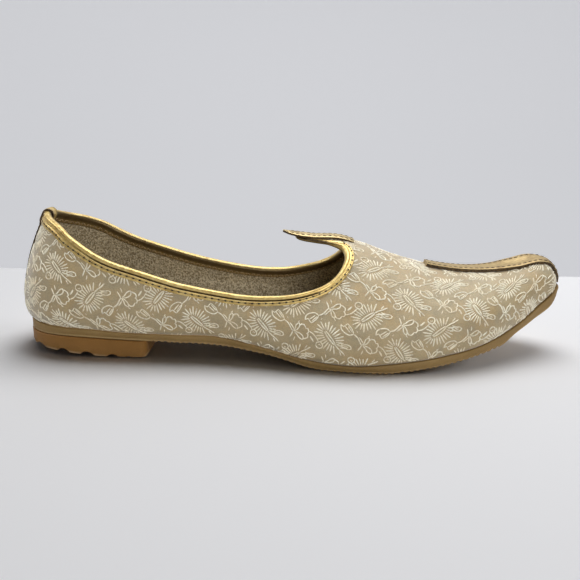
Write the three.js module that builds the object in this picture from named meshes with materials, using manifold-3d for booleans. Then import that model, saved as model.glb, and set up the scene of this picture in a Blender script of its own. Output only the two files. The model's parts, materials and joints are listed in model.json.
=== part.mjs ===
// Mojari: a flat slip-on dress shoe in brocade with gold trim and a turned-up toe, right foot.
// The toe points to +X, the inner side of the foot to +Y, and the sole stands on z = 0.
// The last, the form that the shoe is made over, is one function of two shares: how far along
// the foot and how far up the side. Every piece is worked out from it.
import * as THREE from "three";
import { mergeVertices } from "three/addons/utils/BufferGeometryUtils.js";
import Module from "manifold-3d";

const wasm = await Module();
wasm.setup();

// Driving sizes, in millimetres.
const LENGTH = 298; // upper, from heel back to toe tip
const BALL_WIDTH = 94; // across the widest part of the forefoot
const INSTEP_HEIGHT = 61.7; // floor to the ridge where the tongue leaves the vamp
const BACK_HEIGHT = 76; // floor to the collar at the heel's back
const WALL = 2; // brocade, backing and lining together
const TONGUE_WALL = 1.1; // the tongue has no backing
const GAP = 0.3; // between pieces that touch
const MERGE_WITHIN = 1e-4; // corners closer than this are one corner

// The last seen from above, a row for each section across the foot.
// at: share of the length. sole: half width where upper meets sole, wide: greatest half width,
// both as shares of half the ball width. swing: how far the middle moves to the inner side, in mm.
const PLAN = [
  { at: 0, sole: 0.617, wide: 0.702, swing: 0 },
  { at: 0.101, sole: 0.628, wide: 0.723, swing: 0 },
  { at: 0.201, sole: 0.643, wide: 0.745, swing: -0.2 },
  { at: 0.302, sole: 0.623, wide: 0.734, swing: -0.8 },
  { at: 0.376, sole: 0.628, wide: 0.742, swing: -1.2 },
  { at: 0.456, sole: 0.695, wide: 0.81, swing: -1.5 },
  { at: 0.537, sole: 0.822, wide: 0.917, swing: -1.4 },
  { at: 0.614, sole: 0.915, wide: 0.986, swing: -0.9 },
  { at: 0.688, sole: 0.938, wide: 1, swing: 0 },
  { at: 0.772, sole: 0.866, wide: 0.932, swing: 1.3 },
  { at: 0.856, sole: 0.66, wide: 0.724, swing: 2.6 },
  { at: 0.923, sole: 0.425, wide: 0.478, swing: 3.7 },
  { at: 0.966, sole: 0.27, wide: 0.306, swing: 4.5 },
  { at: 1, sole: 0.191, wide: 0.213, swing: 5 },
];
const HEEL_ROUND = 36; // length of the rounded heel end
const TOE_ROUND = 6.5; // length of the rounded toe end

// The last seen from the side, at the same sections. Heights are shares of the instep height.
// feather: where upper meets sole, wideAt: the widest line, top: the ridge or, behind the tongue,
// the cone of the last. side: how far the side stays upright, crown: how far the top stays flat.
const PROFILE = [
  { at: 0, feather: 0.274, wideAt: 0.486, top: 1.588, side: 0.1, crown: 0.54 },
  { at: 0.101, feather: 0.274, wideAt: 0.502, top: 1.588, side: 0.1, crown: 0.54 },
  { at: 0.201, feather: 0.246, wideAt: 0.502, top: 1.491, side: 0.09, crown: 0.52 },
  { at: 0.302, feather: 0.232, wideAt: 0.478, top: 1.353, side: 0.1, crown: 0.48 },
  { at: 0.376, feather: 0.229, wideAt: 0.454, top: 1.24, side: 0.1, crown: 0.44 },
  { at: 0.456, feather: 0.162, wideAt: 0.413, top: 1.086, side: 0.11, crown: 0.42 },
  { at: 0.537, feather: 0.089, wideAt: 0.365, top: 1.026, side: 0.14, crown: 0.39 },
  { at: 0.614, feather: 0.066, wideAt: 0.34, top: 1, side: 0.2, crown: 0.37 },
  { at: 0.688, feather: 0.097, wideAt: 0.348, top: 0.875, side: 0.28, crown: 0.38 },
  { at: 0.772, feather: 0.144, wideAt: 0.381, top: 0.762, side: 0.36, crown: 0.42 },
  { at: 0.856, feather: 0.214, wideAt: 0.429, top: 0.728, side: 0.42, crown: 0.45 },
  { at: 0.923, feather: 0.35, wideAt: 0.519, top: 0.768, side: 0.46, crown: 0.5 },
  { at: 0.966, feather: 0.49, wideAt: 0.624, top: 0.822, side: 0.5, crown: 0.5 },
  { at: 1, feather: 0.612, wideAt: 0.689, top: 0.785, side: 0.5, crown: 0.5 },
];
const WIDE_SHARE = 0.32; // share of the way up the side that lies below the widest line
const TUCK = { out: 0.8, up: 0.08, upright: 0.55 }; // how the side rolls in to the sole

// How far the heel's back stands in from its rearmost point, in mm.
// height: share of the back height.
const HEEL_BACK = [
  { height: 0.184, setIn: 3.2 },
  { height: 0.224, setIn: 2.4 },
  { height: 0.263, setIn: 0.2 },
  { height: 0.3, setIn: -0.8 },
  { height: 0.355, setIn: -1.3 },
  { height: 0.42, setIn: -1.2 },
  { height: 0.487, setIn: -0.5 },
  { height: 0.592, setIn: 1.4 },
  { height: 0.658, setIn: 2.8 },
  { height: 0.789, setIn: 6.6 },
  { height: 0.987, setIn: 13.6 },
  { height: 1.289, setIn: 24 },
];
const HEEL_BACK_REACH = 80; // the set-in fades out this far along the foot

// Smooth curve through one column of a table. Between two equal rows it stays level.
function curve(rows, from, to) {
  const xs = rows.map((row) => row[from]);
  const ys = rows.map((row) => row[to]);
  const steps = rows.slice(1).map((_, i) => xs[i + 1] - xs[i]);
  const rises = steps.map((step, i) => (ys[i + 1] - ys[i]) / step);
  const slopes = rows.map((_, i) => {
    const [before, after] = [Math.max(i - 1, 0), Math.min(i, rises.length - 1)];
    if (rises[before] * rises[after] === 0) return 0;
    const weighed = rises[before] * steps[after] + rises[after] * steps[before];
    return weighed / (steps[before] + steps[after]);
  });
  return (x) => {
    const i = THREE.MathUtils.clamp(xs.findLastIndex((value) => value <= x), 0, steps.length - 1);
    const t = THREE.MathUtils.clamp((x - xs[i]) / steps[i], 0, 1);
    const straight = ys[i] + (ys[i + 1] - ys[i]) * t * t * (3 - 2 * t);
    return straight + steps[i] * t * (1 - t) * (slopes[i] * (1 - t) - slopes[i + 1] * t);
  };
}

const soleShare = curve(PLAN, "at", "sole");
const wideShare = curve(PLAN, "at", "wide");
const swingAt = curve(PLAN, "at", "swing");
const featherShare = curve(PROFILE, "at", "feather");
const wideAtShare = curve(PROFILE, "at", "wideAt");
const topShare = curve(PROFILE, "at", "top");
const sideShare = curve(PROFILE, "at", "side");
const crownShare = curve(PROFILE, "at", "crown");
const heelSetIn = curve(HEEL_BACK, "height", "setIn");

// Places along the foot are counted in u, from 0 at the heel's back to 1 at the toe tip, and lie
// closer together at both round ends.
const placeAt = (u) => (LENGTH * (1 - Math.cos(Math.PI * u))) / 2;
const travelTo = (x) => Math.acos(1 - (2 * x) / LENGTH) / Math.PI;

// Share of the full width that a round end has at this share of its own length.
function roundEnd(share) {
  const left = 1 - THREE.MathUtils.clamp(share, 0, 1);
  return Math.sqrt(1 - left * left);
}

function bezier(t, a, b, c, d) {
  const s = 1 - t;
  return s * s * s * a + 3 * s * s * t * b + 3 * s * t * t * c + t * t * t * d;
}

// Point of the last at u along the foot and v up the side, from the sole's edge at 0 to the ridge
// at 1. way is 1 on the inner side of the foot and -1 on the outer side.
function lastPoint(u, v, way) {
  const x = placeAt(u);
  const share = x / LENGTH;
  const toeEnd = roundEnd((LENGTH - x) / TOE_ROUND);
  const halfBall = (BALL_WIDTH / 2) * roundEnd(x / HEEL_ROUND) * toeEnd;
  const sole = halfBall * soleShare(share);
  const wide = halfBall * wideShare(share);
  const feather = INSTEP_HEIGHT * featherShare(share);
  const bulge = (INSTEP_HEIGHT * wideAtShare(share) - feather) * toeEnd;
  const rise = (INSTEP_HEIGHT * topShare(share) - feather) * toeEnd - bulge;
  let half;
  let z;
  if (v < WIDE_SHARE) {
    const t = v / WIDE_SHARE;
    half = bezier(t, sole, sole + (wide - sole) * TUCK.out, wide, wide);
    z = feather + bulge * bezier(t, 0, TUCK.up, TUCK.upright, 1);
  } else {
    const t = (v - WIDE_SHARE) / (1 - WIDE_SHARE);
    half = wide * bezier(t, 1, 1, crownShare(share), 0);
    z = feather + bulge + rise * bezier(t, 0, sideShare(share), 1, 1);
  }
  const fade = 1 - THREE.MathUtils.smoothstep(x, 0, HEEL_BACK_REACH);
  const setIn = heelSetIn(z / BACK_HEIGHT) * fade;
  return new THREE.Vector3(x + setIn, swingAt(share) + way * half, z);
}

const SMALL = 1e-3; // step in u and v over which slopes are taken
const TIP_AIM = new THREE.Vector3(1, 0, 0.15).normalize(); // way the toe tip faces

function slopeAlong(u, v, way) {
  const ahead = lastPoint(Math.min(u + SMALL, 1), v, way);
  return ahead.sub(lastPoint(Math.max(u - SMALL, 0), v, way));
}

function slopeUp(u, v, way) {
  const above = lastPoint(u, Math.min(v + SMALL, 1), way);
  return above.sub(lastPoint(u, Math.max(v - SMALL, 0), way));
}

function sideNormal(u, v, way) {
  const normal = slopeUp(u, v, way).cross(slopeAlong(u, v, way));
  return normal.multiplyScalar(way).normalize();
}

// Way out from the last. Both sides share it on the heel's back and on the ridge.
function outward(u, v, way) {
  if (u === 1) return TIP_AIM.clone();
  const onSeam = u === 0 || v === 1;
  const normal = sideNormal(u, v, way);
  return onSeam ? normal.add(sideNormal(u, v, -way)).normalize() : normal;
}

// Point that stands out from the last by an amount, or in from it when negative.
function offLast(u, v, way, amount) {
  return lastPoint(u, v, way).addScaledVector(outward(u, v, way), amount);
}

// Closed mesh from faces of three or four corners each, with shared corners merged.
function geometryOf(faces) {
  const corners = [];
  for (const [a, b, c, d] of faces) {
    corners.push(a, b, c);
    if (d) corners.push(a, c, d);
  }
  const loose = new THREE.BufferGeometry().setFromPoints(corners);
  const merged = mergeVertices(loose, MERGE_WITHIN);
  const index = [];
  const old = merged.index.array;
  for (let i = 0; i < old.length; i += 3) {
    const [a, b, c] = old.slice(i, i + 3);
    if (a !== b && b !== c && c !== a) index.push(a, b, c);
  }
  merged.setIndex(index);
  merged.computeVertexNormals();
  return merged;
}

function meshOf(name, geometry, colour, roughness, metalness) {
  const material = new THREE.MeshStandardMaterial({ color: colour, roughness, metalness });
  const mesh = new THREE.Mesh(geometry, material);
  mesh.name = name;
  return mesh;
}

// Skin between rings with the same number of corners. A loop joins its last ring to its first,
// and other lofts are closed by a fan at each end.
function loft(rings, isLoop) {
  const faces = [];
  const count = rings[0].length;
  const bays = isLoop ? rings.length : rings.length - 1;
  for (let i = 0; i < bays; i += 1) {
    const ring = rings[i];
    const next = rings[(i + 1) % rings.length];
    for (let j = 0; j < count; j += 1) {
      const k = (j + 1) % count;
      faces.push([ring[j], ring[k], next[k], next[j]]);
    }
  }
  if (!isLoop) {
    const [first, final] = [rings[0], rings.at(-1)];
    for (let j = 1; j < count - 1; j += 1) {
      faces.push([first[0], first[j + 1], first[j]]);
      faces.push([final[0], final[j], final[j + 1]]);
    }
  }
  return geometryOf(faces);
}

// Equal steps from one value to another, both ends included.
function steps(from, to, count) {
  return Array.from({ length: count + 1 }, (_, i) => from + ((to - from) * i) / count);
}

// Topline: from the heel's back along the collar, round the throat and to the tongue's tip.
// at: share of the length. outer and inner: share of the way up the side, for each side.
// leaf: how far the binding reaches down from the cut edge, in mm.
const TOPLINE = [
  { at: 0, outer: 0.718, inner: 0.718, leaf: 4.6 },
  { at: 0.0403, outer: 0.687, inner: 0.685, leaf: 4.6 },
  { at: 0.094, outer: 0.637, inner: 0.651, leaf: 4.6 },
  { at: 0.161, outer: 0.581, inner: 0.603, leaf: 4.6 },
  { at: 0.2349, outer: 0.543, inner: 0.562, leaf: 4.6 },
  { at: 0.3188, outer: 0.506, inner: 0.525, leaf: 4.6 },
  { at: 0.4027, outer: 0.5, inner: 0.511, leaf: 4.5 },
  { at: 0.4799, outer: 0.541, inner: 0.538, leaf: 4.2 },
  { at: 0.5369, outer: 0.595, inner: 0.596, leaf: 3.8 },
  { at: 0.5738, outer: 0.65, inner: 0.653, leaf: 3.4 },
  { at: 0.5946, outer: 0.717, inner: 0.719, leaf: 3.2 },
  { at: 0.605, outer: 0.8, inner: 0.8, leaf: 3.2 },
  { at: 0.5987, outer: 0.877, inner: 0.877, leaf: 2.9 },
  { at: 0.5738, outer: 0.912, inner: 0.912, leaf: 2.4 },
  { at: 0.5436, outer: 0.932, inner: 0.932, leaf: 2.4 },
  { at: 0.5268, outer: 0.939, inner: 0.939, leaf: 2.4 },
  { at: 0.5155, outer: 0.957, inner: 0.957, leaf: 2.4 },
  { at: 0.5117, outer: 1, inner: 1, leaf: 2.4 },
];
const THROAT_ROW = 11; // front of the throat, where the tongue's edge takes over from the collar
const TIP_ROW = TOPLINE.length - 1;
const ROW_STEPS = 3; // sections of the upper to each row of the topline

// Curve of the topline on one side. It runs on past both ends, so that the sides join smoothly.
function toplineCurve(way) {
  const side = way > 0 ? "inner" : "outer";
  const marks = TOPLINE.map((row) => new THREE.Vector2(travelTo(row.at * LENGTH), row[side]));
  const beforeBack = new THREE.Vector2(-marks[1].x, marks[1].y);
  const pastTip = new THREE.Vector2(marks[TIP_ROW - 1].x, 2 - marks[TIP_ROW - 1].y);
  return new THREE.SplineCurve([beforeBack, ...marks, pastTip]);
}
const TOPLINE_CURVES = { "1": toplineCurve(1), "-1": toplineCurve(-1) };

// Place [u, v] on the topline. row counts along the table and may lie between two rows.
function toplinePlace(row, way) {
  if (row === 0) return [0, TOPLINE[0].outer];
  if (row === TIP_ROW) return [travelTo(TOPLINE[TIP_ROW].at * LENGTH), 1];
  const place = TOPLINE_CURVES[way].getPoint((row + 1) / (TIP_ROW + 2));
  return [place.x, Math.min(place.y, 1)];
}

// Upper: brocade on its backing and lining, one hollow wall, open at the topline and underneath.
const SIDE_ROWS = 7; // rows of faces up the side
const CROWN_ROWS = 3; // rows of faces on the tongue and over the ridge
const VAMP_COLUMNS = 18; // sections from the throat to the toe tip
const TONGUE_TAPER = 12; // length over which the wall thins out behind the throat

// Thickness of the wall at a place: full on the sides and the vamp, thinner on the tongue.
function wallAt(u, v) {
  if (v < TOPLINE[THROAT_ROW].outer) return WALL;
  const throatX = TOPLINE[THROAT_ROW].at * LENGTH;
  const full = THREE.MathUtils.smoothstep(placeAt(u), throatX - TONGUE_TAPER, throatX);
  return THREE.MathUtils.lerp(TONGUE_WALL, WALL, full);
}

function upperFaces(way) {
  const faces = [];
  const outer = ([u, v]) => lastPoint(u, v, way);
  const inner = ([u, v]) => offLast(u, v, way, -wallAt(u, v));
  const addFace = ([a, b, c, d]) => faces.push(way > 0 ? [a, d, c, b] : [a, b, c, d]);

  // Both skins of a sheet of places, column after column towards the toe.
  const addSheet = (columns) => {
    for (let i = 0; i < columns.length - 1; i += 1) {
      for (let j = 0; j < columns[i].length - 1; j += 1) {
        const places = [columns[i][j], columns[i + 1][j], columns[i + 1][j + 1], columns[i][j + 1]];
        addFace(places.map(outer));
        const [a, b, c, d] = places.map(inner);
        addFace([a, d, c, b]);
      }
    }
  };
  // Cut edge of the wall along a row of places, with the sheet above it or below it.
  const addEdge = (places, sheetAbove) => {
    for (let i = 0; i < places.length - 1; i += 1) {
      const [a, b] = sheetAbove ? [places[i + 1], places[i]] : [places[i], places[i + 1]];
      addFace([outer(a), outer(b), inner(b), inner(a)]);
    }
  };

  const rowsBetween = (u, from, to, count) => steps(from, to, count).map((v) => [u, v]);
  const quarter = steps(0, THROAT_ROW, THROAT_ROW * ROW_STEPS).map((row) => {
    const [u, v] = toplinePlace(row, way);
    return rowsBetween(u, 0, v, SIDE_ROWS);
  });
  const tongueRows = (TIP_ROW - THROAT_ROW) * ROW_STEPS;
  const tongue = steps(TIP_ROW, THROAT_ROW, tongueRows).map((row) => {
    const [u, v] = toplinePlace(row, way);
    return rowsBetween(u, v, 1, CROWN_ROWS);
  });
  const [throatU, throatV] = toplinePlace(THROAT_ROW, way);
  const vamp = steps(throatU, 1, VAMP_COLUMNS).map((u) => [
    ...rowsBetween(u, 0, throatV, SIDE_ROWS),
    ...rowsBetween(u, throatV, 1, CROWN_ROWS).slice(1),
  ]);

  [quarter, tongue, vamp].forEach(addSheet);
  addEdge(quarter.map((column) => column.at(-1)), false);
  addEdge(tongue.map((column) => column[0]), true);
  addEdge([...quarter, ...vamp.slice(1)].map((column) => column[0]), true);
  return faces;
}

function makeUpper() {
  const geometry = geometryOf([...upperFaces(1), ...upperFaces(-1)]);
  return meshOf("upper", geometry, 0xb8a47c, 0.7, 0);
}

// Collar binding: one strip of gold leather folded over the topline, with a rolled bead on top.
// It is finer round the tongue. leaf: thickness of the folded strip, beadOut and beadUp: half size
// of the bead across the wall and its height over the cut edge, in mm.
const COLLAR_TRIM = { wall: WALL, leaf: 0.7, beadOut: 2.15, beadUp: 1.6 };
const TONGUE_TRIM = { wall: TONGUE_WALL, leaf: 0.35, beadOut: 1.2, beadUp: 1.1 };
const BEAD_ANGLES_DEG = [-35, 5, 45, 90, 135, 175];
const GROOVE = { rise: 0.3, down: 1.3 }; // dip between bead and outer leaf
const LINING_EASE = 0.2; // the inner leaf stands off a little more
const LEAF_ROWS = TOPLINE.map(({ leaf }, row) => ({ row, leaf }));
const leafDepthAt = curve(LEAF_ROWS, "row", "leaf");

function trimAt(row) {
  const wall = row > THROAT_ROW ? wallAt(...toplinePlace(row, 1)) : WALL;
  const share = (WALL - wall) / (WALL - TONGUE_WALL);
  const sizes = Object.keys(COLLAR_TRIM).map((key) => {
    return [key, THREE.MathUtils.lerp(COLLAR_TRIM[key], TONGUE_TRIM[key], share)];
  });
  return Object.fromEntries(sizes);
}

// Section points. out: from the middle of the wall, down: from its cut edge into the wall.
function bindingSection(row) {
  const { wall, leaf, beadOut, beadUp } = trimAt(row);
  const depth = leafDepthAt(row);
  const outerSeat = wall / 2 + GAP;
  const innerSeat = -outerSeat - LINING_EASE;
  const bead = BEAD_ANGLES_DEG.map((angle) => {
    const turn = THREE.MathUtils.degToRad(angle);
    return { out: beadOut * Math.cos(turn), down: -beadUp * Math.sin(turn) };
  });
  return [
    { out: outerSeat, down: depth },
    { out: outerSeat + leaf, down: depth },
    { out: outerSeat + leaf, down: GROOVE.down + leaf },
    { out: outerSeat + GROOVE.rise, down: GROOVE.down },
    ...bead,
    { out: innerSeat - leaf, down: depth },
    { out: innerSeat, down: depth },
    { out: innerSeat, down: -GAP },
    { out: outerSeat, down: -GAP },
  ];
}

// Place on the last that lies a distance from the topline, square to it and into the wall.
function placeInWall(row, way, distance) {
  const [u, v] = toplinePlace(row, way);
  const normal = outward(u, v, way);
  const along = new THREE.Vector3(0, row === 0 ? way : -way, 0);
  if (row > 0 && row < TIP_ROW) {
    const ahead = lastPoint(...toplinePlace(row + SMALL, way), way);
    along.subVectors(ahead, lastPoint(...toplinePlace(row - SMALL, way), way)).normalize();
  }
  const into = normal.clone().cross(along).multiplyScalar(way * distance);
  const du = slopeAlong(u, v, way).divideScalar(u === 0 ? SMALL : 2 * SMALL);
  const dv = slopeUp(u, v, way).divideScalar(v === 1 ? SMALL : 2 * SMALL);
  const [uu, uv, vv] = [du.dot(du), du.dot(dv), dv.dot(dv)];
  const [pu, pv] = [into.dot(du), into.dot(dv)];
  const spread = uu * vv - uv * uv;
  const stepU = (pu * vv - pv * uv) / spread;
  const stepV = (pv * uu - pu * uv) / spread;
  return [row === 0 ? u : u + stepU, row === TIP_ROW ? v : Math.min(v + stepV, 1)];
}

function bindingRing(row, way) {
  const { wall } = trimAt(row);
  return bindingSection(row).map(({ out, down }) => {
    const [u, v] = placeInWall(row, way, down);
    return offLast(u, v, way, out - wall / 2);
  });
}

function makeCollarBinding() {
  const rows = steps(0, TIP_ROW, TIP_ROW * ROW_STEPS);
  const innerSide = rows.map((row) => bindingRing(row, 1));
  const outerSide = rows.slice(1, -1).reverse().map((row) => bindingRing(row, -1));
  const geometry = loft([...innerSide, ...outerSide], true);
  return meshOf("collar_binding", geometry, 0xc8aa5a, 0.3, 0.8);
}

// Outsole: moulded rubber, one band from heel to toe tip. The upper stands on it.
// at: share of the length, under: height of its lower face in mm, lip: how far it stands out
// past the line where upper meets sole. It lies flat on the floor under the ball of the foot.
const OUTSOLE = [
  { at: 0, under: 10.6, lip: 1.2 },
  { at: 0.04, under: 11.2, lip: 1.1 },
  { at: 0.1, under: 11.8, lip: 0.9 },
  { at: 0.168, under: 11.1, lip: 0.8 },
  { at: 0.252, under: 10.1, lip: 0.8 },
  { at: 0.302, under: 9.4, lip: 0.8 },
  { at: 0.359, under: 9, lip: 0.8 },
  { at: 0.396, under: 8.2, lip: 0.8 },
  { at: 0.433, under: 6.7, lip: 0.8 },
  { at: 0.47, under: 5.1, lip: 0.8 },
  { at: 0.507, under: 2.9, lip: 0.8 },
  { at: 0.537, under: 0.9, lip: 0.8 },
  { at: 0.564, under: 0, lip: 0.8 },
  { at: 0.671, under: 0, lip: 0.8 },
  { at: 0.715, under: 1.2, lip: 0.8 },
  { at: 0.768, under: 3.1, lip: 0.8 },
  { at: 0.822, under: 5.5, lip: 0.8 },
  { at: 0.862, under: 7.8, lip: 0.8 },
  { at: 0.893, under: 10.5, lip: 0.9 },
  { at: 0.909, under: 13.9, lip: 1 },
  { at: 0.946, under: 20, lip: 1.2 },
  { at: 0.993, under: 30.1, lip: 1.8 },
  { at: 1, under: 33, lip: 2 },
];
const SOLE_SECTIONS = 46;
const SOLE_EDGE = { round: 0.6, slant: 0.8 }; // rounding of the edge, and how much narrower below
const UPRIGHT_BACK = 40; // sole and heel are upright at the back and slope in fully from here on
const underAt = curve(OUTSOLE, "at", "under");
const lipAt = curve(OUTSOLE, "at", "lip");

// Point of the sole's outline, moved out by a margin, at height z.
function outlinePoint(u, way, margin, z) {
  const base = lastPoint(u, 0, way);
  const along = slopeAlong(u, 0, way);
  const out = new THREE.Vector2(-along.y, along.x).multiplyScalar(way).normalize();
  if (u === 0) out.set(-1, 0);
  if (u === 1) out.set(1, 0);
  return new THREE.Vector3(base.x + out.x * margin, base.y + out.y * margin, z);
}

// Ring across the sole from a half section listed downwards, first at one side and back at the other.
function soleRing(u, halfSection) {
  const inner = halfSection.map(({ margin, z }) => outlinePoint(u, 1, margin, z));
  const outer = halfSection.map(({ margin, z }) => outlinePoint(u, -1, margin, z));
  return [...outer, ...inner.reverse()];
}

function slopeIn(x) {
  return THREE.MathUtils.smoothstep(x, 0, UPRIGHT_BACK);
}

function makeOutsole() {
  const rings = steps(0, 1, SOLE_SECTIONS).map((u) => {
    const base = lastPoint(u, 0, 1);
    const lip = lipAt(base.x / LENGTH);
    const under = underAt(base.x / LENGTH);
    const { round } = SOLE_EDGE;
    const slant = SOLE_EDGE.slant * slopeIn(base.x);
    const topZ = base.z - GAP;
    return soleRing(u, [
      { margin: lip - round, z: topZ },
      { margin: lip, z: topZ - round },
      { margin: lip - slant, z: under + round },
      { margin: lip - slant - round, z: under },
    ]);
  });
  return meshOf("outsole", loft(rings, false), 0xa28358, 0.75, 0);
}

// Insole: stiff board with a thin cover. It lies on the outsole, inside the upper's lower edge.
const INSOLE = { thick: 2.4, inset: 2.6, end: 0.98, sections: 36 };

function makeInsole() {
  const rings = steps(0, travelTo(INSOLE.end * LENGTH), INSOLE.sections).map((u) => {
    const { z } = lastPoint(u, 0, 1);
    return soleRing(u, [
      { margin: -INSOLE.inset, z: z + INSOLE.thick },
      { margin: -INSOLE.inset, z },
    ]);
  });
  return meshOf("insole", loft(rings, false), 0x8a7a5c, 0.85, 0);
}

// Heel: rubber block under the back of the outsole, cut across by shallow rounded grooves.
// breast: mm from the heel's back to its front face, corner: rounding of the front corners,
// lip: how far it stands out past the outsole, taper: how much narrower it gets to the floor,
// foot: bevel round the tread, rise: how high the tread lifts at its back, from run to level,
// nose and noseRun: how high and how far it lifts at its front edge.
const HEEL = {
  breast: 73,
  corner: 4,
  lip: 0.3,
  taper: 1.1,
  foot: 0.8,
  rise: 3,
  run: 63,
  level: 12,
  nose: 2,
  noseRun: 3,
};
const HEEL_SECTIONS = { side: 18, corner: 4 };
const GROOVE_FACETS = 64;
// at: mm from the heel's back, width and depth of each groove across the tread.
const HEEL_GROOVES = [
  { at: 11.5, width: 7, depth: 1.9 },
  { at: 26, width: 7, depth: 1.9 },
  { at: 39.6, width: 7.5, depth: 1.9 },
  { at: 54, width: 7, depth: 1.9 },
  { at: 62.8, width: 3.2, depth: 1.2 },
];

function manifoldOf(geometry) {
  const bare = new THREE.BufferGeometry();
  bare.setAttribute("position", geometry.getAttribute("position").clone());
  bare.setIndex(geometry.index.clone());
  const merged = mergeVertices(bare, MERGE_WITHIN);
  const vertProperties = new Float32Array(merged.getAttribute("position").array);
  const triVerts = new Uint32Array(merged.index.array);
  return new wasm.Manifold(new wasm.Mesh({ numProp: 3, vertProperties, triVerts }));
}

function geometryFrom(manifold) {
  const { vertProperties, triVerts } = manifold.getMesh();
  const geometry = new THREE.BufferGeometry();
  geometry.setAttribute("position", new THREE.BufferAttribute(vertProperties, 3));
  geometry.setIndex(Array.from(triVerts));
  geometry.computeVertexNormals();
  return geometry;
}

// Height of the tread over the floor at x.
function treadAt(x) {
  const back = THREE.MathUtils.smoothstep(HEEL.run - x, 0, HEEL.run - HEEL.level);
  const front = THREE.MathUtils.clamp(1 - (HEEL.breast - x) / HEEL.noseRun, 0, 1);
  return HEEL.rise * back + HEEL.nose * front * front;
}

// Round bar across the tread whose top arc has the groove's width and depth.
function grooveCutter({ at, width, depth }) {
  const radius = (width * width) / (8 * depth) + depth / 2;
  const bar = new THREE.CylinderGeometry(radius, radius, BALL_WIDTH, GROOVE_FACETS);
  return bar.translate(at, 0, treadAt(at) + depth - radius);
}

function makeHeel() {
  const cornerStart = HEEL.breast - HEEL.corner;
  const sides = steps(0, travelTo(cornerStart), HEEL_SECTIONS.side);
  const cornerTurns = steps(0, Math.PI / 2, HEEL_SECTIONS.corner).slice(1);
  const corners = cornerTurns.map((turn) => travelTo(cornerStart + HEEL.corner * Math.sin(turn)));
  const rings = [...sides, ...corners].map((u) => {
    const base = lastPoint(u, 0, 1);
    const share = base.x / LENGTH;
    const intoCorner = THREE.MathUtils.clamp((placeAt(u) - cornerStart) / HEEL.corner, 0, 1);
    const cornerInset = HEEL.corner * (1 - Math.sqrt(1 - intoCorner * intoCorner));
    const slope = slopeIn(base.x);
    const edge = lipAt(share) - SOLE_EDGE.slant * slope + HEEL.lip - cornerInset;
    const tread = edge - HEEL.taper * slope;
    return soleRing(u, [
      { margin: edge, z: underAt(share) - GAP },
      { margin: tread, z: treadAt(base.x) + HEEL.foot },
      { margin: tread - HEEL.foot / 2, z: treadAt(base.x) },
    ]);
  });
  let block = manifoldOf(loft(rings, false));
  for (const groove of HEEL_GROOVES) block = block.subtract(manifoldOf(grooveCutter(groove)));
  return meshOf("heel", geometryFrom(block), 0xb2864a, 0.75, 0);
}

// Share up the side that lies a distance down from the ridge, measured over the surface.
const RIDGE_STRIDES = 60; // steps of the walk from ridge to sole
function shareBelowRidge(u, distance, way) {
  let walked = 0;
  let last = lastPoint(u, 1, way);
  for (let i = 1; i <= RIDGE_STRIDES; i += 1) {
    const next = lastPoint(u, 1 - i / RIDGE_STRIDES, way);
    const stride = next.distanceTo(last);
    if (walked + stride >= distance) {
      return 1 - (i - 1 + (distance - walked) / stride) / RIDGE_STRIDES;
    }
    walked += stride;
    last = next;
  }
  return 0;
}

// Strip laid along the ridge. Its rows say how wide it is and how far it stands off the upper.
const STRIP_ACROSS = [-1, -0.5, 0, 0.5, 1]; // corners across a strip, as shares of its half width
function ridgeStripRing(u, { half, off, lift }, thick) {
  const skin = (rise) => STRIP_ACROSS.map((share) => {
    const way = share < 0 ? -1 : 1;
    const v = share === 0 ? 1 : shareBelowRidge(u, half * Math.abs(share), way);
    return offLast(u, v, way, off + rise + lift * Math.max(share, 0));
  });
  return [...skin(0), ...skin(thick).reverse()];
}

function ridgeStrip(name, rows, thick, sections, colour) {
  const [halfAt, offAt, liftAt] = ["half", "off", "lift"].map((key) => curve(rows, "at", key));
  const places = steps(travelTo(rows[0].at * LENGTH), travelTo(rows.at(-1).at * LENGTH), sections);
  const rings = places.map((u) => {
    const share = placeAt(u) / LENGTH;
    const sizes = { half: halfAt(share), off: offAt(share), lift: liftAt(share) };
    return ridgeStripRing(u, sizes, thick);
  });
  return meshOf(name, loft(rings, false), colour, 0.35, 0.7);
}

// Toe strap: gold strip sewn down at the toe tip, laid back over the ridge to a free end.
// at: share of the length, half: half width, off: clearance to the upper, lift: how much more its
// inner edge stands off, in mm.
const TOE_STRAP = [
  { at: 0.752, half: 5, off: 0.8, lift: 0 },
  { at: 0.83, half: 5, off: 1, lift: 0.3 },
  { at: 0.88, half: 5.2, off: 0.95, lift: 1.2 },
  { at: 0.915, half: 5.4, off: 0.85, lift: 2.4 },
  { at: 0.945, half: 5.4, off: 0.55, lift: 2.8 },
  { at: 0.965, half: 5.2, off: 0.5, lift: 1.6 },
  { at: 0.985, half: 4.8, off: 0.5, lift: 0.3 },
  { at: 0.9975, half: 3.8, off: 0.5, lift: 0 },
  { at: 0.9998, half: 1.6, off: 0.5, lift: 0 },
];
const TOE_STRAP_THICK = 1.3;
const TOE_STRAP_SECTIONS = 24;

// Tongue strap: pointed gold strip on top of the tongue, over the binding, down to the vamp.
const TONGUE_OFF = TONGUE_TRIM.beadOut - TONGUE_WALL / 2 + GAP; // clears the binding's bead
const TONGUE_STRAP = [
  { at: 0.4855, half: 0.6, off: TONGUE_OFF, lift: 0 },
  { at: 0.497, half: 3, off: TONGUE_OFF, lift: 0 },
  { at: 0.51, half: 4.2, off: TONGUE_OFF, lift: 0 },
  { at: 0.537, half: 4.6, off: TONGUE_OFF, lift: 0 },
  { at: 0.592, half: 4.6, off: TONGUE_OFF, lift: 0 },
  { at: 0.617, half: 4.6, off: 0.45, lift: 0 },
];
const TONGUE_STRAP_THICK = 1.2;
const TONGUE_STRAP_SECTIONS = 18;

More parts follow.
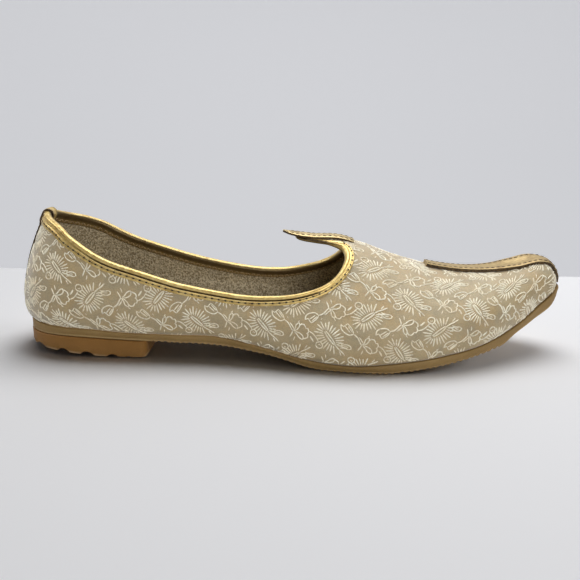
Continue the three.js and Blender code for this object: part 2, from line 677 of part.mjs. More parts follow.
// Back strip: gold strip up the seam at the heel's back, folded over the collar to the inside.
// down: along the wall from its cut edge, off: from the outside of the upper, in mm.
const BACK_STRIP = [
  { down: 57, off: 0.5 },
  { down: 50, off: 0.45 },
  { down: 40, off: 0.45 },
  { down: 30, off: 0.45 },
  { down: 20, off: 0.45 },
  { down: 11, off: 0.45 },
  { down: 7, off: 0.6 },
  { down: 5, off: 1.4 },
  { down: 2.5, off: 1.5 },
  { down: 0.5, off: 1.5 },
  { down: -0.8, off: 1.1 },
  { down: -1.65, off: 0.3 },
  { down: -1.9, off: -1 },
  { down: -1.65, off: -2.3 },
  { down: -0.8, off: -3.2 },
  { down: 0.5, off: -3.7 },
  { down: 3, off: -3.8 },
];
const BACK_STRIP_HALF = 3.8;
const BACK_STRIP_THICK = 0.6;

// Share up the heel's back at a distance from the topline, found by walking along it.
const HEEL_STRIDE = 0.002;
function heelBackShare(down) {
  const stride = HEEL_STRIDE * Math.sign(down);
  let v = TOPLINE[0].outer;
  let walked = 0;
  while (walked < Math.abs(down) && v > 0) {
    walked += lastPoint(0, v - stride, 1).distanceTo(lastPoint(0, v, 1));
    v -= stride;
  }
  return Math.max(v, 0);
}

// Place along the foot, close to the heel's back, where the last is this wide at v.
const HALVINGS = 40; // steps of the search
function heelTravel(v, half) {
  let [low, high] = [0, travelTo(HEEL_ROUND / 2)];
  for (let i = 0; i < HALVINGS; i += 1) {
    const u = (low + high) / 2;
    if (lastPoint(u, v, 1).y < half) low = u;
    else high = u;
  }
  return low;
}

function makeBackStrip() {
  const path = BACK_STRIP.map(({ down, off }) => new THREE.Vector2(down, off));
  const outSide = path.map((point, i) => {
    const before = path[Math.max(i - 1, 0)];
    const after = path[Math.min(i + 1, path.length - 1)];
    const along = after.clone().sub(before).normalize();
    const out = new THREE.Vector2(along.y, -along.x);
    return point.clone().addScaledVector(out, BACK_STRIP_THICK);
  });
  const skin = ({ x: down, y: off }) => STRIP_ACROSS.map((share) => {
    const v = heelBackShare(down);
    const way = share < 0 ? -1 : 1;
    const u = share === 0 ? 0 : heelTravel(v, BACK_STRIP_HALF * Math.abs(share));
    return offLast(u, v, way, off);
  });
  const rings = path.map((point, i) => [...skin(point), ...skin(outSide[i]).reverse()]);
  return meshOf("back_strip", loft(rings, false), 0xb0904a, 0.35, 0.7);
}

const shoe = new THREE.Group();
shoe.add(
  makeOutsole(),
  makeHeel(),
  makeInsole(),
  makeUpper(),
  makeCollarBinding(),
  ridgeStrip("tongue_strap", TONGUE_STRAP, TONGUE_STRAP_THICK, TONGUE_STRAP_SECTIONS, 0xc8aa5a),
  ridgeStrip("toe_strap", TOE_STRAP, TOE_STRAP_THICK, TOE_STRAP_SECTIONS, 0xd8b878),
  makeBackStrip(),
);

// The origin is on the floor, under the middle of the shoe.
const box = new THREE.Box3().setFromObject(shoe);
const middle = box.getCenter(new THREE.Vector3());
shoe.position.set(-middle.x, -middle.y, -box.min.z);
shoe.updateMatrixWorld(true);

export default shoe;
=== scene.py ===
# Mojari: a brocade slip-on dress shoe for the right foot, with finer meshes in place of its solids.
# Sizes are in millimetres in the shoe's own frame: x from the heel's back to the toe, y to the
# inner side of the foot, z up from the floor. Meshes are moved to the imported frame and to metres.
import json
import math

import bmesh
import bpy
import numpy as np
from mathutils import Matrix, Vector

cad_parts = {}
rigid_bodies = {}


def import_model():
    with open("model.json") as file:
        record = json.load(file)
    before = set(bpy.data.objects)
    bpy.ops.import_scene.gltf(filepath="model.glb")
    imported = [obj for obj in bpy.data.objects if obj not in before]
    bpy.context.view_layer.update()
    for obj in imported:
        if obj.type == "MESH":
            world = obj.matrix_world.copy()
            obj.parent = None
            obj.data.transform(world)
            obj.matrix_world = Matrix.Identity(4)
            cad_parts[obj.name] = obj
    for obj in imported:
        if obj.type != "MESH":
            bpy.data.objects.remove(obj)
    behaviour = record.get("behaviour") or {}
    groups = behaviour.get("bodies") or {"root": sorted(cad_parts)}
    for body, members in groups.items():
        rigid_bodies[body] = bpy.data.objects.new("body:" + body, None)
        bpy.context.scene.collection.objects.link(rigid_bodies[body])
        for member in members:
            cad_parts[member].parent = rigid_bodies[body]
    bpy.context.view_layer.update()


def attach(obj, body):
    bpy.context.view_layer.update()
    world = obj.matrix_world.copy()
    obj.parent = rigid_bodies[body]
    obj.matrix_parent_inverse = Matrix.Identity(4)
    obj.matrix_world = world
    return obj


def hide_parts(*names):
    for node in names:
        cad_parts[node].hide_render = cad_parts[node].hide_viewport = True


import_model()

# Upper: one piece of cream and tan brocade on a backing, lined inside and pulled over the last.
# It is sewn up at the heel's back, open at the topline and glued to the sole all round.
LENGTH = 298
BALL_WIDTH = 94
INSTEP_HEIGHT = 61.7
BACK_HEIGHT = 76
WALL = 2
TONGUE_WALL = 1.1
HEEL_ROUND = 36
TOE_ROUND = 6.5
WIDE_SHARE = 0.32
TUCK = {"out": 0.8, "up": 0.08, "upright": 0.55}
HEEL_BACK_REACH = 80
TIP_AIM = np.array([1, 0, 0.15]) / math.hypot(1, 0.15)
SMALL = 1e-3
MIDDLE = np.array([148.817, -0.278, 0])  # the point of the floor that is the frame's origin
PLAN = {
    "at": [0, .101, .201, .302, .376, .456, .537, .614, .688, .772, .856, .923, .966, 1],
    "sole": [.617, .628, .643, .623, .628, .695, .822, .915, .938, .866, .66, .425, .27, .191],
    "wide": [.702, .723, .745, .734, .742, .81, .917, .986, 1, .932, .724, .478, .306, .213],
    "swing": [0, 0, -.2, -.8, -1.2, -1.5, -1.4, -.9, 0, 1.3, 2.6, 3.7, 4.5, 5],
    "feather": [.274, .274, .246, .232, .229, .162, .089, .066, .097, .144, .214, .35, .49, .612],
    "wide_at": [.486, .502, .502, .478, .454, .413, .365, .34, .348, .381, .429, .519, .624, .689],
    "top": [1.588, 1.588, 1.491, 1.353, 1.24, 1.086, 1.026, 1, .875, .762, .728, .768, .822, .785],
    "side": [.1, .1, .09, .1, .1, .11, .14, .2, .28, .36, .42, .46, .5, .5],
    "crown": [.54, .54, .52, .48, .44, .42, .39, .37, .38, .42, .45, .5, .5, .5],
}
HEEL_BACK = {
    "height": [.184, .224, .263, .3, .355, .42, .487, .592, .658, .789, .987, 1.289],
    "set_in": [3.2, 2.4, .2, -.8, -1.3, -1.2, -.5, 1.4, 2.8, 6.6, 13.6, 24],
}


def smooth_curve(at, values):
    """Smooth curve through a row of values, level between two equal ones."""
    at, values = np.array(at, float), np.array(values, float)
    steps = np.diff(at)
    rises = np.diff(values) / steps
    before = np.maximum(np.arange(len(at)) - 1, 0)
    after = np.minimum(np.arange(len(at)), len(rises) - 1)
    weighed = rises[before] * steps[after] + rises[after] * steps[before]
    slopes = np.where(rises[before] * rises[after] == 0, 0, weighed / (steps[before] + steps[after]))

    def value(x):
        i = np.clip(np.searchsorted(at, x, side="right") - 1, 0, len(steps) - 1)
        t = np.clip((x - at[i]) / steps[i], 0, 1)
        straight = values[i] + (values[i + 1] - values[i]) * t * t * (3 - 2 * t)
        return straight + steps[i] * t * (1 - t) * (slopes[i] * (1 - t) - slopes[i + 1] * t)

    return value


plan = {name: smooth_curve(PLAN["at"], PLAN[name]) for name in PLAN if name != "at"}
heel_set_in = smooth_curve(HEEL_BACK["height"], HEEL_BACK["set_in"])


def smooth_step(x, low, high):
    t = np.clip((x - low) / (high - low), 0, 1)
    return t * t * (3 - 2 * t)


def round_end(share):
    return np.sqrt(1 - (1 - np.clip(share, 0, 1)) ** 2)


def bezier(t, a, b, c, d):
    s = 1 - t
    return s**3 * a + 3 * s * s * t * b + 3 * s * t * t * c + t**3 * d


def smooth_between(a, b, c, d, t):
    """Point at t between b and c, on a smooth line that passes a and d too."""
    leave, reach = (c - a) / 2, (d - b) / 2
    cube, square = 2 * b - 2 * c + leave + reach, 3 * c - 3 * b - 2 * leave - reach
    return cube * t**3 + square * t**2 + leave * t + b


def walked_along(line):
    """Distance walked to each point of a line, or of each line in a stack of them."""
    steps = np.linalg.norm(np.diff(line, axis=-2), axis=-1)
    return np.concatenate([np.zeros((*steps.shape[:-1], 1)), np.cumsum(steps, axis=-1)], -1)


def place_at(u):
    """Distance from the heel's back at u, which runs from 0 to 1 and is finer at both ends."""
    return LENGTH * (1 - np.cos(np.pi * np.asarray(u, float))) / 2


def travel_to(x):
    return np.arccos(1 - 2 * np.asarray(x, float) / LENGTH) / np.pi


def last_point(u, v, way):
    """Point of the last at u along the foot and v up the side; way is 1 inside, -1 outside."""
    u, v, way = np.broadcast_arrays(np.asarray(u, float), v, way)
    x = place_at(u)
    share = x / LENGTH
    toe_end = round_end((LENGTH - x) / TOE_ROUND)
    half_ball = BALL_WIDTH / 2 * round_end(x / HEEL_ROUND) * toe_end
    sole, wide = half_ball * plan["sole"](share), half_ball * plan["wide"](share)
    feather = INSTEP_HEIGHT * plan["feather"](share)
    bulge = (INSTEP_HEIGHT * plan["wide_at"](share) - feather) * toe_end
    rise = (INSTEP_HEIGHT * plan["top"](share) - feather) * toe_end - bulge
    low = np.clip(v / WIDE_SHARE, 0, 1)
    high = np.clip((v - WIDE_SHARE) / (1 - WIDE_SHARE), 0, 1)
    low_half = bezier(low, sole, sole + (wide - sole) * TUCK["out"], wide, wide)
    low_z = feather + bulge * bezier(low, 0, TUCK["up"], TUCK["upright"], 1)
    high_half = wide * bezier(high, 1, 1, plan["crown"](share), 0)
    high_z = feather + bulge + rise * bezier(high, 0, plan["side"](share), 1, 1)
    half = np.where(v < WIDE_SHARE, low_half, high_half)
    z = np.where(v < WIDE_SHARE, low_z, high_z)
    set_in = heel_set_in(z / BACK_HEIGHT) * (1 - smooth_step(x, 0, HEEL_BACK_REACH))
    return np.stack([x + set_in, plan["swing"](share) + way * half, z], -1)


def slope_along(u, v, way):
    return last_point(np.minimum(u + SMALL, 1), v, way) - last_point(np.maximum(u - SMALL, 0), v, way)


def slope_up(u, v, way):
    return last_point(u, np.minimum(v + SMALL, 1), way) - last_point(u, np.maximum(v - SMALL, 0), way)


def unit(vectors):
    return vectors / np.maximum(np.linalg.norm(vectors, axis=-1, keepdims=True), 1e-12)


def outward(u, v, way):
    """Way out from the last. Both sides share it on the heel's back and on the ridge."""
    u, v, way = np.broadcast_arrays(np.asarray(u, float), v, way)

    def side_normal(turn):
        return unit(np.cross(slope_up(u, v, turn), slope_along(u, v, turn)) * turn[..., None])

    normal = side_normal(way)
    seam = ((u <= 0) | (v >= 1))[..., None]
    normal = np.where(seam, unit(normal + side_normal(-way)), normal)
    return np.where((u >= 1)[..., None], TIP_AIM, normal)


def off_last(u, v, way, amount):
    return last_point(u, v, way) + outward(u, v, way) * np.asarray(amount, float)[..., None]


# Topline of the upper: along the collar, round the throat and to the tongue's tip.
TOPLINE = {
    "at": [0, .0403, .094, .161, .2349, .3188, .4027, .4799, .5369, .5738, .5946, .605, .5987,
           .5738, .5436, .5268, .5155, .5117],
    "outer": [.718, .687, .637, .581, .543, .506, .5, .541, .595, .65, .717, .8, .877,
              .912, .932, .939, .957, 1],
    "inner": [.718, .685, .651, .603, .562, .525, .511, .538, .596, .653, .719, .8, .877,
              .912, .932, .939, .957, 1],
    "leaf": [4.6, 4.6, 4.6, 4.6, 4.6, 4.6, 4.5, 4.2, 3.8, 3.4, 3.2, 3.2, 2.9, 2.4, 2.4, 2.4, 2.4, 2.4],
}
THROAT_ROW = 11
TIP_ROW = 17
TONGUE_TAPER = 12


def topline_place(row, way):
    """Place (u, v) on the topline; row counts along the table and may lie between two rows."""
    shares = TOPLINE["inner" if way > 0 else "outer"]
    marks = np.stack([travel_to(np.array(TOPLINE["at"]) * LENGTH), shares], -1)
    before = marks[1] * [-1, 1]
    past = np.array([marks[-2][0], 2 - marks[-2][1]])
    marks = np.concatenate([[before], marks, [past]])
    row = np.asarray(row, float)
    i = np.clip(np.floor(row).astype(int), 0, TIP_ROW - 1)
    t = (row - i)[..., None]
    place = smooth_between(marks[i], marks[i + 1], marks[i + 2], marks[i + 3], t)
    return np.maximum(place[..., 0], 0), np.minimum(place[..., 1], 1)


def wall_at(u, v):
    """Thickness of the upper, which thins behind the throat to that of the tongue."""
    throat = TOPLINE["at"][THROAT_ROW] * LENGTH
    full = smooth_step(place_at(u), throat - TONGUE_TAPER, throat)
    on_tongue = TONGUE_WALL + (WALL - TONGUE_WALL) * full
    return np.where(v < TOPLINE["outer"][THROAT_ROW], WALL, on_tongue)


# Chart of the cloth: how the flat brocade lies on the last, in mm along the rows of the pattern
# and up across them. The rows dip to the toe, and the cloth leans a little at both ends.
ROW_LINE = {
    "along": [0, 42, 64, 99, 121, 157, 192, 214, 228, 248, 268, 290, 330],
    "up": [-10, -10.3, -11, -9.3, -5, -1.3, -1.6, -5, -9, -14.5, -21, -29.6, -45],
}
LEAN = {"middle": 158, "rate": 0.0023}
CHART_SIZE = 500
CHART_CORNER = np.array([-20, -60])
row_line = smooth_curve(ROW_LINE["along"], ROW_LINE["up"])
CHART_COLUMNS = 400
CHART_ROWS = 200
CHART_U = np.linspace(0, 1, CHART_COLUMNS + 1)
chart_grid = last_point(CHART_U[:, None], np.linspace(0, 1, CHART_ROWS + 1), -1)
widest_row = int(WIDE_SHARE * CHART_ROWS)
chart_along = walked_along(chart_grid[:, widest_row])
chart_up = walked_along(chart_grid)
chart_up -= chart_up[:, [widest_row]]


def cloth_chart(u, v, way):
    """Place of the flat cloth that lies at u, v, as shares of the chart's size."""
    u, v = np.broadcast_arrays(np.asarray(u, float), v)
    along = np.interp(u, CHART_U, chart_along)
    i = np.clip((u * CHART_COLUMNS).astype(int), 0, CHART_COLUMNS - 1)
    j = np.clip((v * CHART_ROWS).astype(int), 0, CHART_ROWS - 1)
    s, t = u * CHART_COLUMNS - i, v * CHART_ROWS - j
    near = chart_up[i, j] * (1 - t) + chart_up[i, j + 1] * t
    far = chart_up[i + 1, j] * (1 - t) + chart_up[i + 1, j + 1] * t
    up = near * (1 - s) + far * s - row_line(along)
    ridge = chart_up[i, -1] * (1 - s) + chart_up[i + 1, -1] * s - row_line(along)
    along = along - (along - LEAN["middle"]) * LEAN["rate"] * up
    up = np.where(way > 0, 2 * ridge - up, up)
    return (np.stack([along, up], -1) - CHART_CORNER) / CHART_SIZE


def to_frame(points):
    """Points in mm of the shoe's own frame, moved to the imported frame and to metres."""
    return (np.asarray(points, float).reshape(-1, 3) - MIDDLE) * 0.001


def mesh_of(name, points, edges=(), faces=()):
    mesh = bpy.data.meshes.new(name)
    mesh.from_pydata(np.asarray(points).tolist(), edges, faces)
    return mesh


def placed(name, data):
    """New object of the scene that shows a mesh, a light or a camera."""
    item = bpy.data.objects.new(name, data)
    bpy.context.scene.collection.objects.link(item)
    return item


def keep_chart(mesh, charts):
    """Keeps each point's place on the flat cloth as the UV map of a mesh."""
    layer = mesh.uv_layers.new(name="cloth")
    corners = np.array([loop.vertex_index for loop in mesh.loops])
    layer.data.foreach_set("uv", np.asarray(charts, np.float32)[corners].ravel())


def piece_of(name, points, faces, materials, face_slots=None, charts=None, tones=None, sharp_deg=40):
    """Closed mesh object from points in mm and faces, welded, facing outwards and smooth.
    A tone from 0 to 1 at each point is kept for its material to read."""
    mesh = mesh_of(name, to_frame(points), faces=[list(map(int, face)) for face in faces])
    for material in materials:
        mesh.materials.append(material)
    if face_slots is not None:
        mesh.polygons.foreach_set("material_index", np.asarray(face_slots, np.int32))
    if charts is not None:
        keep_chart(mesh, charts)
    if tones is not None:
        layer = mesh.attributes.new("tone", "FLOAT", "POINT")
        layer.data.foreach_set("value", np.asarray(tones, np.float32))
    work = bmesh.new()
    work.from_mesh(mesh)
    bmesh.ops.remove_doubles(work, verts=work.verts, dist=1e-7)
    bmesh.ops.dissolve_degenerate(work, edges=work.edges, dist=1e-8)
    bmesh.ops.recalc_face_normals(work, faces=work.faces)
    work.to_mesh(mesh)
    work.free()
    mesh.shade_smooth()
    mesh.set_sharp_from_angle(angle=math.radians(sharp_deg))
    return placed(name, mesh)


def node(tree, kind, inputs=None, **settings):
    """New node of a tree, with its settings made and its inputs set or linked."""
    made = tree.nodes.new(kind)
    for key, value in settings.items():
        setattr(made, key, value)
    for key, value in (inputs or {}).items():
        if isinstance(value, bpy.types.NodeSocket):
            tree.links.new(value, made.inputs[key])
        else:
            made.inputs[key].default_value = value
    return made


def colour(red, green, blue):
    """Linear colour of a tone that is given from 0 to 255, as the eye sees it."""
    def linear(tone):
        tone /= 255
        return tone / 12.92 if tone <= 0.04045 else ((tone + 0.055) / 1.055) ** 2.4
    return (linear(red), linear(green), linear(blue), 1)


def new_material(name, **shader_values):
    """Material with a principled shader, and its tree, shader and object coordinates."""
    material = bpy.data.materials.new(name)
    material.use_nodes = True
    tree = material.node_tree
    shader = tree.nodes["Principled BSDF"]
    for key, value in shader_values.items():
        shader.inputs[key.replace("_", " ")].default_value = value
    place = node(tree, "ShaderNodeTexCoord")
    return material, tree, shader, place


def mix(tree, share, first, second, blend="MIX"):
    made = node(tree, "ShaderNodeMix", {0: share, 6: first, 7: second}, data_type="RGBA", blend_type=blend)
    return made.outputs[2]


def noise(tree, place, scale, detail=3, rough=0.55):
    inputs = {"Vector": place.outputs["Object"], "Scale": scale, "Detail": detail, "Roughness": rough}
    return node(tree, "ShaderNodeTexNoise", inputs).outputs["Fac"]


def ramp(tree, value, low, high):
    inputs = {"Value": value, "From Min": low, "From Max": high}
    return node(tree, "ShaderNodeMapRange", inputs).outputs["Result"]


def bumped(tree, shader, height, strength, distance):
    inputs = {"Height": height, "Strength": strength, "Distance": distance}
    tree.links.new(node(tree, "ShaderNodeBump", inputs).outputs["Normal"], shader.inputs["Normal"])


def brocade_cloth():
    """Cream and tan ground weave with soft orange and grey clouds, darkened by its tone near the sole:
    painted shade of the crease there, and its glue line.
    """
    material, tree, shader, place = new_material("brocade_cloth", Roughness=0.5, Specular_IOR_Level=0.85,
                                                 Sheen_Weight=0.7, Sheen_Roughness=0.4)
    clouds = ramp(tree, noise(tree, place, 70), 0.35, 0.68)
    grey = ramp(tree, noise(tree, place, 115, 4), 0.4, 0.75)
    grain = ramp(tree, noise(tree, place, 1500, 2), 0.3, 0.7)
    ground = mix(tree, clouds, colour(185, 170, 136), colour(180, 157, 113))
    ground = mix(tree, grey, ground, colour(164, 154, 127))

    def yarns(direction):
        inputs = {"Vector": place.outputs["UV"], "Scale": 300.0, "Distortion": 0.6}
        return node(tree, "ShaderNodeTexWave", inputs, bands_direction=direction).outputs["Fac"]

    weave = node(tree, "ShaderNodeMath", {0: yarns("X"), 1: yarns("Y")}, operation="MULTIPLY")
    grain_colour = mix(tree, grain, colour(150, 132, 98), colour(222, 206, 172))
    ground = mix(tree, 0.32, ground, grain_colour, "OVERLAY")
    tone = node(tree, "ShaderNodeAttribute", attribute_name="tone").outputs["Fac"]
    # Tone darkens the ground near the sole: painted shade of the crease there, and its glue line.
    ground = mix(tree, tone, ground, colour(82, 62, 38))
    tree.links.new(ground, shader.inputs["Base Color"])
    height = node(tree, "ShaderNodeMath", {0: weave.outputs[0], 1: grain}, operation="ADD")
    bumped(tree, shader, height.outputs[0], 0.35, 0.00025)
    return material


def lining_cloth():
    """Dull gold lining with a fine glitter."""
    material, tree, shader, place = new_material("lining_cloth", Roughness=0.62, Metallic=0.15)
    specks = ramp(tree, noise(tree, place, 900, 2, 0.8), 0.4, 0.62)
    clouds = ramp(tree, noise(tree, place, 90), 0.3, 0.7)
    base = mix(tree, specks, colour(124, 108, 80), colour(240, 226, 194))
    base = mix(tree, 0.25, base, mix(tree, clouds, colour(160, 144, 116), colour(196, 176, 136)))
    tree.links.new(base, shader.inputs["Base Color"])
    bumped(tree, shader, specks, 0.5, 0.0003)
    return material


CLOTH = brocade_cloth()
LINING = lining_cloth()
FINE = {"row_steps": 8, "side": 34, "crown": 10, "vamp": 110}
TURNED_UNDER = {"share": 0.034, "rows": 2, "tone": 0.85}  # dark edge at the sole, with no thread on it: painted shade of the crease between cloth and sole, and its glue line
BOUND_ROWS = 1  # rows of faces along the tongue's edge, under the binding and with no thread on them


def upper_sheets(way):
    """Places of the cloth on one side: quarter, tongue and vamp, each as arrays of u and v."""
    def sheet(rows, low, high, count):
        u, v = topline_place(rows, way)
        low = v if low is None else np.full_like(v, low)
        high = v if high is None else np.full_like(v, high)
        shares = np.linspace(0, 1, count + 1)
        return np.repeat(u[:, None], count + 1, 1), low[:, None] + (high - low)[:, None] * shares

    quarter = sheet(np.linspace(0, THROAT_ROW, THROAT_ROW * FINE["row_steps"] + 1), 0, None, FINE["side"])
    tongue_rows = (TIP_ROW - THROAT_ROW) * FINE["row_steps"]
    tongue = sheet(np.linspace(TIP_ROW, THROAT_ROW, tongue_rows + 1), None, 1, FINE["crown"])
    throat_u, throat_v = topline_place(THROAT_ROW, way)
    shares = np.concatenate([np.linspace(0, throat_v, FINE["side"] + 1),
                             np.linspace(throat_v, 1, FINE["crown"] + 1)[1:]])
    columns = np.linspace(throat_u, 1, FINE["vamp"] + 1)
    vamp = np.repeat(columns[:, None], len(shares), 1), np.repeat(shares[None, :], len(columns), 0)
    return quarter, tongue, vamp


def grid_faces(columns, rows, start):
    """Faces of a grid of points that are counted up each column, from the number start on."""
    i, j = np.meshgrid(np.arange(columns - 1), np.arange(rows - 1), indexing="ij")
    a = start + i * rows + j
    return np.stack([a, a + rows, a + rows + 1, a + 1], -1).reshape(-1, 4)


def make_upper():
    """Upper with its lining, and the points, faces, charts and ways out of its threaded face."""
    points, faces, slots, charts, tones = [], [], [], [], []
    chart_points, chart_faces, chart_uv, outs = [], [], [], []
    count = 0
    for way in (1, -1):
        sheets = []
        for u, v in upper_sheets(way):
            outer = last_point(u, v, way)
            inner = off_last(u, v, way, -wall_at(u, v))
            chart = cloth_chart(u, v, way)
            columns, rows = u.shape
            size = columns * rows
            outer_faces = grid_faces(columns, rows, count)
            faces += [outer_faces, grid_faces(columns, rows, count + size)[:, ::-1]]
            slots += [np.zeros(len(outer_faces)), np.ones(len(outer_faces))]
            points += [outer.reshape(-1, 3), inner.reshape(-1, 3)]
            charts += [chart.reshape(-1, 2), chart.reshape(-1, 2)]
            # Painted shade of the crease at the sole, with its glue line: the cloth darkens towards its
            # lower edge.
            dark = TURNED_UNDER["tone"] * np.clip(1 - v / TURNED_UNDER["share"], 0, 1)
            tones += [dark.ravel(), np.zeros(size)]
            skipped = TURNED_UNDER["rows"] if v.min() == 0 else BOUND_ROWS
            threaded = outer_faces.reshape(columns - 1, rows - 1, 4)[:, skipped:].reshape(-1, 4)
            chart_faces.append(threaded - count + sum(len(p) for p in chart_points))
            chart_points.append(outer.reshape(-1, 3))
            chart_uv.append(chart.reshape(-1, 2))
            outs.append(outward(u, v, way).reshape(-1, 3))
            sheets.append((count, columns, rows, size))
            count += 2 * size
        quarter, tongue, vamp = sheets
        # Strips close the wall at the topline and at the sole.
        for (start, columns, rows, size), is_top in (
            (quarter, True), (tongue, False), (quarter, False), (vamp, False),
        ):
            line = start + np.arange(columns) * rows + (rows - 1 if is_top else 0)
            strip = np.stack([line[:-1], line[1:], line[1:] + size, line[:-1] + size], -1)
            faces.append(strip)
            slots.append(np.zeros(len(strip)))
    upper = piece_of("brocade_upper", np.concatenate(points), np.concatenate(faces), [CLOTH, LINING],
                     np.concatenate(slots), np.concatenate(charts), np.concatenate(tones))
    return upper, *map(np.concatenate, (chart_points, chart_faces, chart_uv, outs))


upper, chart_points, chart_faces, chart_uv, chart_outs = make_upper()
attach(upper, "root")
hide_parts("upper")

# Raised pattern of the brocade: pale silver thread woven over the ground in one small repeat.
# Each repeat has a feathered leaf, and a bud and blossom on a stem, then both again upside down.
REPEAT = {"along": 35.3, "up": 30, "columns": 12, "rows": 13, "columns_before": 1, "rows_below": 2}
FIRST_LEAF = 15.8  # along the chart to the middle of the first leaf
SECOND_GROUP = (0.49, 0.5)  # place of the upturned half, as shares of the repeat
THREAD = {"height": 0.45, "sunk": 0.1, "broad": 1.1}
# Eye of the leaf, and the ovals where its rays begin and end: half sizes along it and across.
FEATHER_LEAF = {
    "turn_deg": -47, "eye": 4.1, "eye_half": 0.34, "eye_thread": 0.72,
    "inner": (4.9, 1.95), "outer": (9.5, 7.1), "rays": 22, "ray_thread": 0.7, "gap_deg": 58,
}
# Each stroke of the flower: its width in mm, then the points that it passes, from the leaf's middle.
# The whole flower stands a rise above them.
FLOWER = [
    (0.62, [(4.8, 6.6), (5.2, 4.2), (7.1, 2.6), (9.6, 1.9), (11.5, 2.9)]),
    (0.62, [(11.5, 2.9), (10.6, 4.9), (9.4, 6.3), (8, 7.6)]),
    (0.55, [(4.9, 6.5), (6.2, 5.6), (7, 6.4), (8, 7.6)]),
    (0.55, [(6.7, 6.2), (8.2, 4.7), (9.8, 3.2)]),
    (0.5, [(8.2, 6.6), (9.4, 5.2), (10.6, 3.7)]),
    (0.66, [(11.5, 2.9), (13.7, 1.4), (15.2, -0.8), (16.1, -2.1)]),
    (0.66, [(16.1, -2.1), (15.7, -3.4), (14.7, -5.5)]),
    (0.6, [(14.4, 1.9), (15.5, 0.8), (16.7, -0.9)]),
    (0.62, [(16.2, -2.1), (17.3, -0.6), (17.7, 1.4), (19.3, 2.6), (19.4, 0.8), (18.3, -0.9), (16.8, -2)]),
    (0.62, [(16.8, -2.3), (18.2, -3.3), (19.5, -4.9), (21.4, -5.7), (21.6, -4), (20, -2.6), (17.5, -2)]),
    (0.66, [(19.6, 1.2), (20.5, 2.3), (21.8, 2.3), (22.6, 1.3), (22.7, 0.6)]),
    (0.66, [(22.7, 0.7), (23.9, 0.6), (24.4, -0.5), (24, -1.7), (23.3, -2)]),
    (0.66, [(23.4, -1.9), (24.2, -2.7), (24, -4), (22.9, -4.8), (21.6, -5.4)]),
    (0.6, [(24.6, -0.6), (26.4, -1.3), (28, -2.7), (29.6, -4.9)]),
    (0.85, [(25.2, -3.1), (26.1, -4.2), (27.2, -5.7)]),
    (0.62, [(28.5, -6.6), (29.3, -5.4), (31, -5.2), (32, -6.6), (31.5, -8.3), (29.8, -8.7), (28.6, -7.7),
            (28.5, -6.6)]),
    (0.55, [(29.7, -6.8), (30.5, -6.4), (31, -7.1)]),
    (0.55, [(17.2, -4.9), (17, -6.1), (16.6, -7.2)]),
    (0.55, [(12.8, 4.8), (13.4, 3.9)]),
    (0.55, [(1.2, 8.6), (2.2, 7.6)]),
]
FLOWER_RISE = 1.8
# Strokes of the leaf's stalk and of the curl beside it, in the same way.
STALK = [
    (0.7, [(2.7, -2.8), (4.6, -4.6), (6.6, -6), (8.6, -7.8)]),
    (0.62, [(4.7, -3.3), (6.2, -2.7), (7.6, -1.9), (9.4, -1.7), (11, -2.4), (11.3, -3.5), (10.2, -4.2)]),
    (0.62, [(10.2, -4.2), (8.6, -3.8), (7, -3.9), (5.8, -4.2)]),
    (0.6, [(7.6, -3), (8.8, -2.8), (9.8, -3)]),
    (0.6, [(6.2, -2.3), (6.9, -1.2)]),
    (0.6, [(4.8, -2.2), (5.8, -0.9)]),
    (0.62, [(5.6, -6.2), (6.4, -7.6), (6.8, -8.4)]),
]


def leaf_strokes():
    """Strokes of the feathered leaf: a long eye, and short rays all round it."""
    turn = math.radians(FEATHER_LEAF["turn_deg"])

    def turned(x, y):
        return x * math.cos(turn) - y * math.sin(turn), x * math.sin(turn) + y * math.cos(turn)

    strokes = []
    eye_end, eye_half = FEATHER_LEAF["eye"], FEATHER_LEAF["eye_half"]
    eye_line = np.linspace(-eye_end, eye_end, 6)
    for side in (-1, 1):
        eye = [turned(x, side * (eye_half + eye_half * (1 - (x / eye_end) ** 2))) for x in eye_line]
        strokes.append((FEATHER_LEAF["eye_thread"], eye))
    (in_x, in_y), (out_x, out_y) = FEATHER_LEAF["inner"], FEATHER_LEAF["outer"]
    turns = np.radians(np.linspace(FEATHER_LEAF["gap_deg"] / 2, 360 - FEATHER_LEAF["gap_deg"] / 2, 400))
    rim = np.stack([(in_x + out_x) * np.cos(turns), (in_y + out_y) * np.sin(turns)], -1)
    walked = walked_along(rim)
    even = np.linspace(0, walked[-1], FEATHER_LEAF["rays"])
    for i, angle in enumerate(np.interp(even, walked, turns)):
        reach = 0.93 + 0.07 * math.cos(2.4 * i)  # the rays are not all of one length
        x, y = math.cos(angle), math.sin(angle)
        start, end = turned(in_x * x, in_y * y), turned(out_x * x * reach, out_y * y * reach)
        middle = (start[0] + end[0]) / 2, (start[1] + end[1]) / 2
        strokes.append((FEATHER_LEAF["ray_thread"], [start, middle, end]))
    return strokes


def flower_strokes():
    """Strokes of the flower, moved up by its rise."""
    return [(width, [(x, y + FLOWER_RISE) for x, y in marks]) for width, marks in FLOWER]


def through(points, stride=0.9):
    """Evenly spaced points on a smooth line through the given ones."""
    points = np.array(points, float)
    line = np.concatenate([[2 * points[0] - points[1]], points, [2 * points[-1] - points[-2]]])
    places = []
    for a, b, c, d in zip(line, line[1:], line[2:], line[3:]):
        count = max(1, round(float(np.linalg.norm(c - b)) / stride))
        t = np.linspace(0, 1, count, endpoint=False)[:, None]
        places.append(smooth_between(a, b, c, d, t))
    return np.concatenate([*places, points[-1:]])


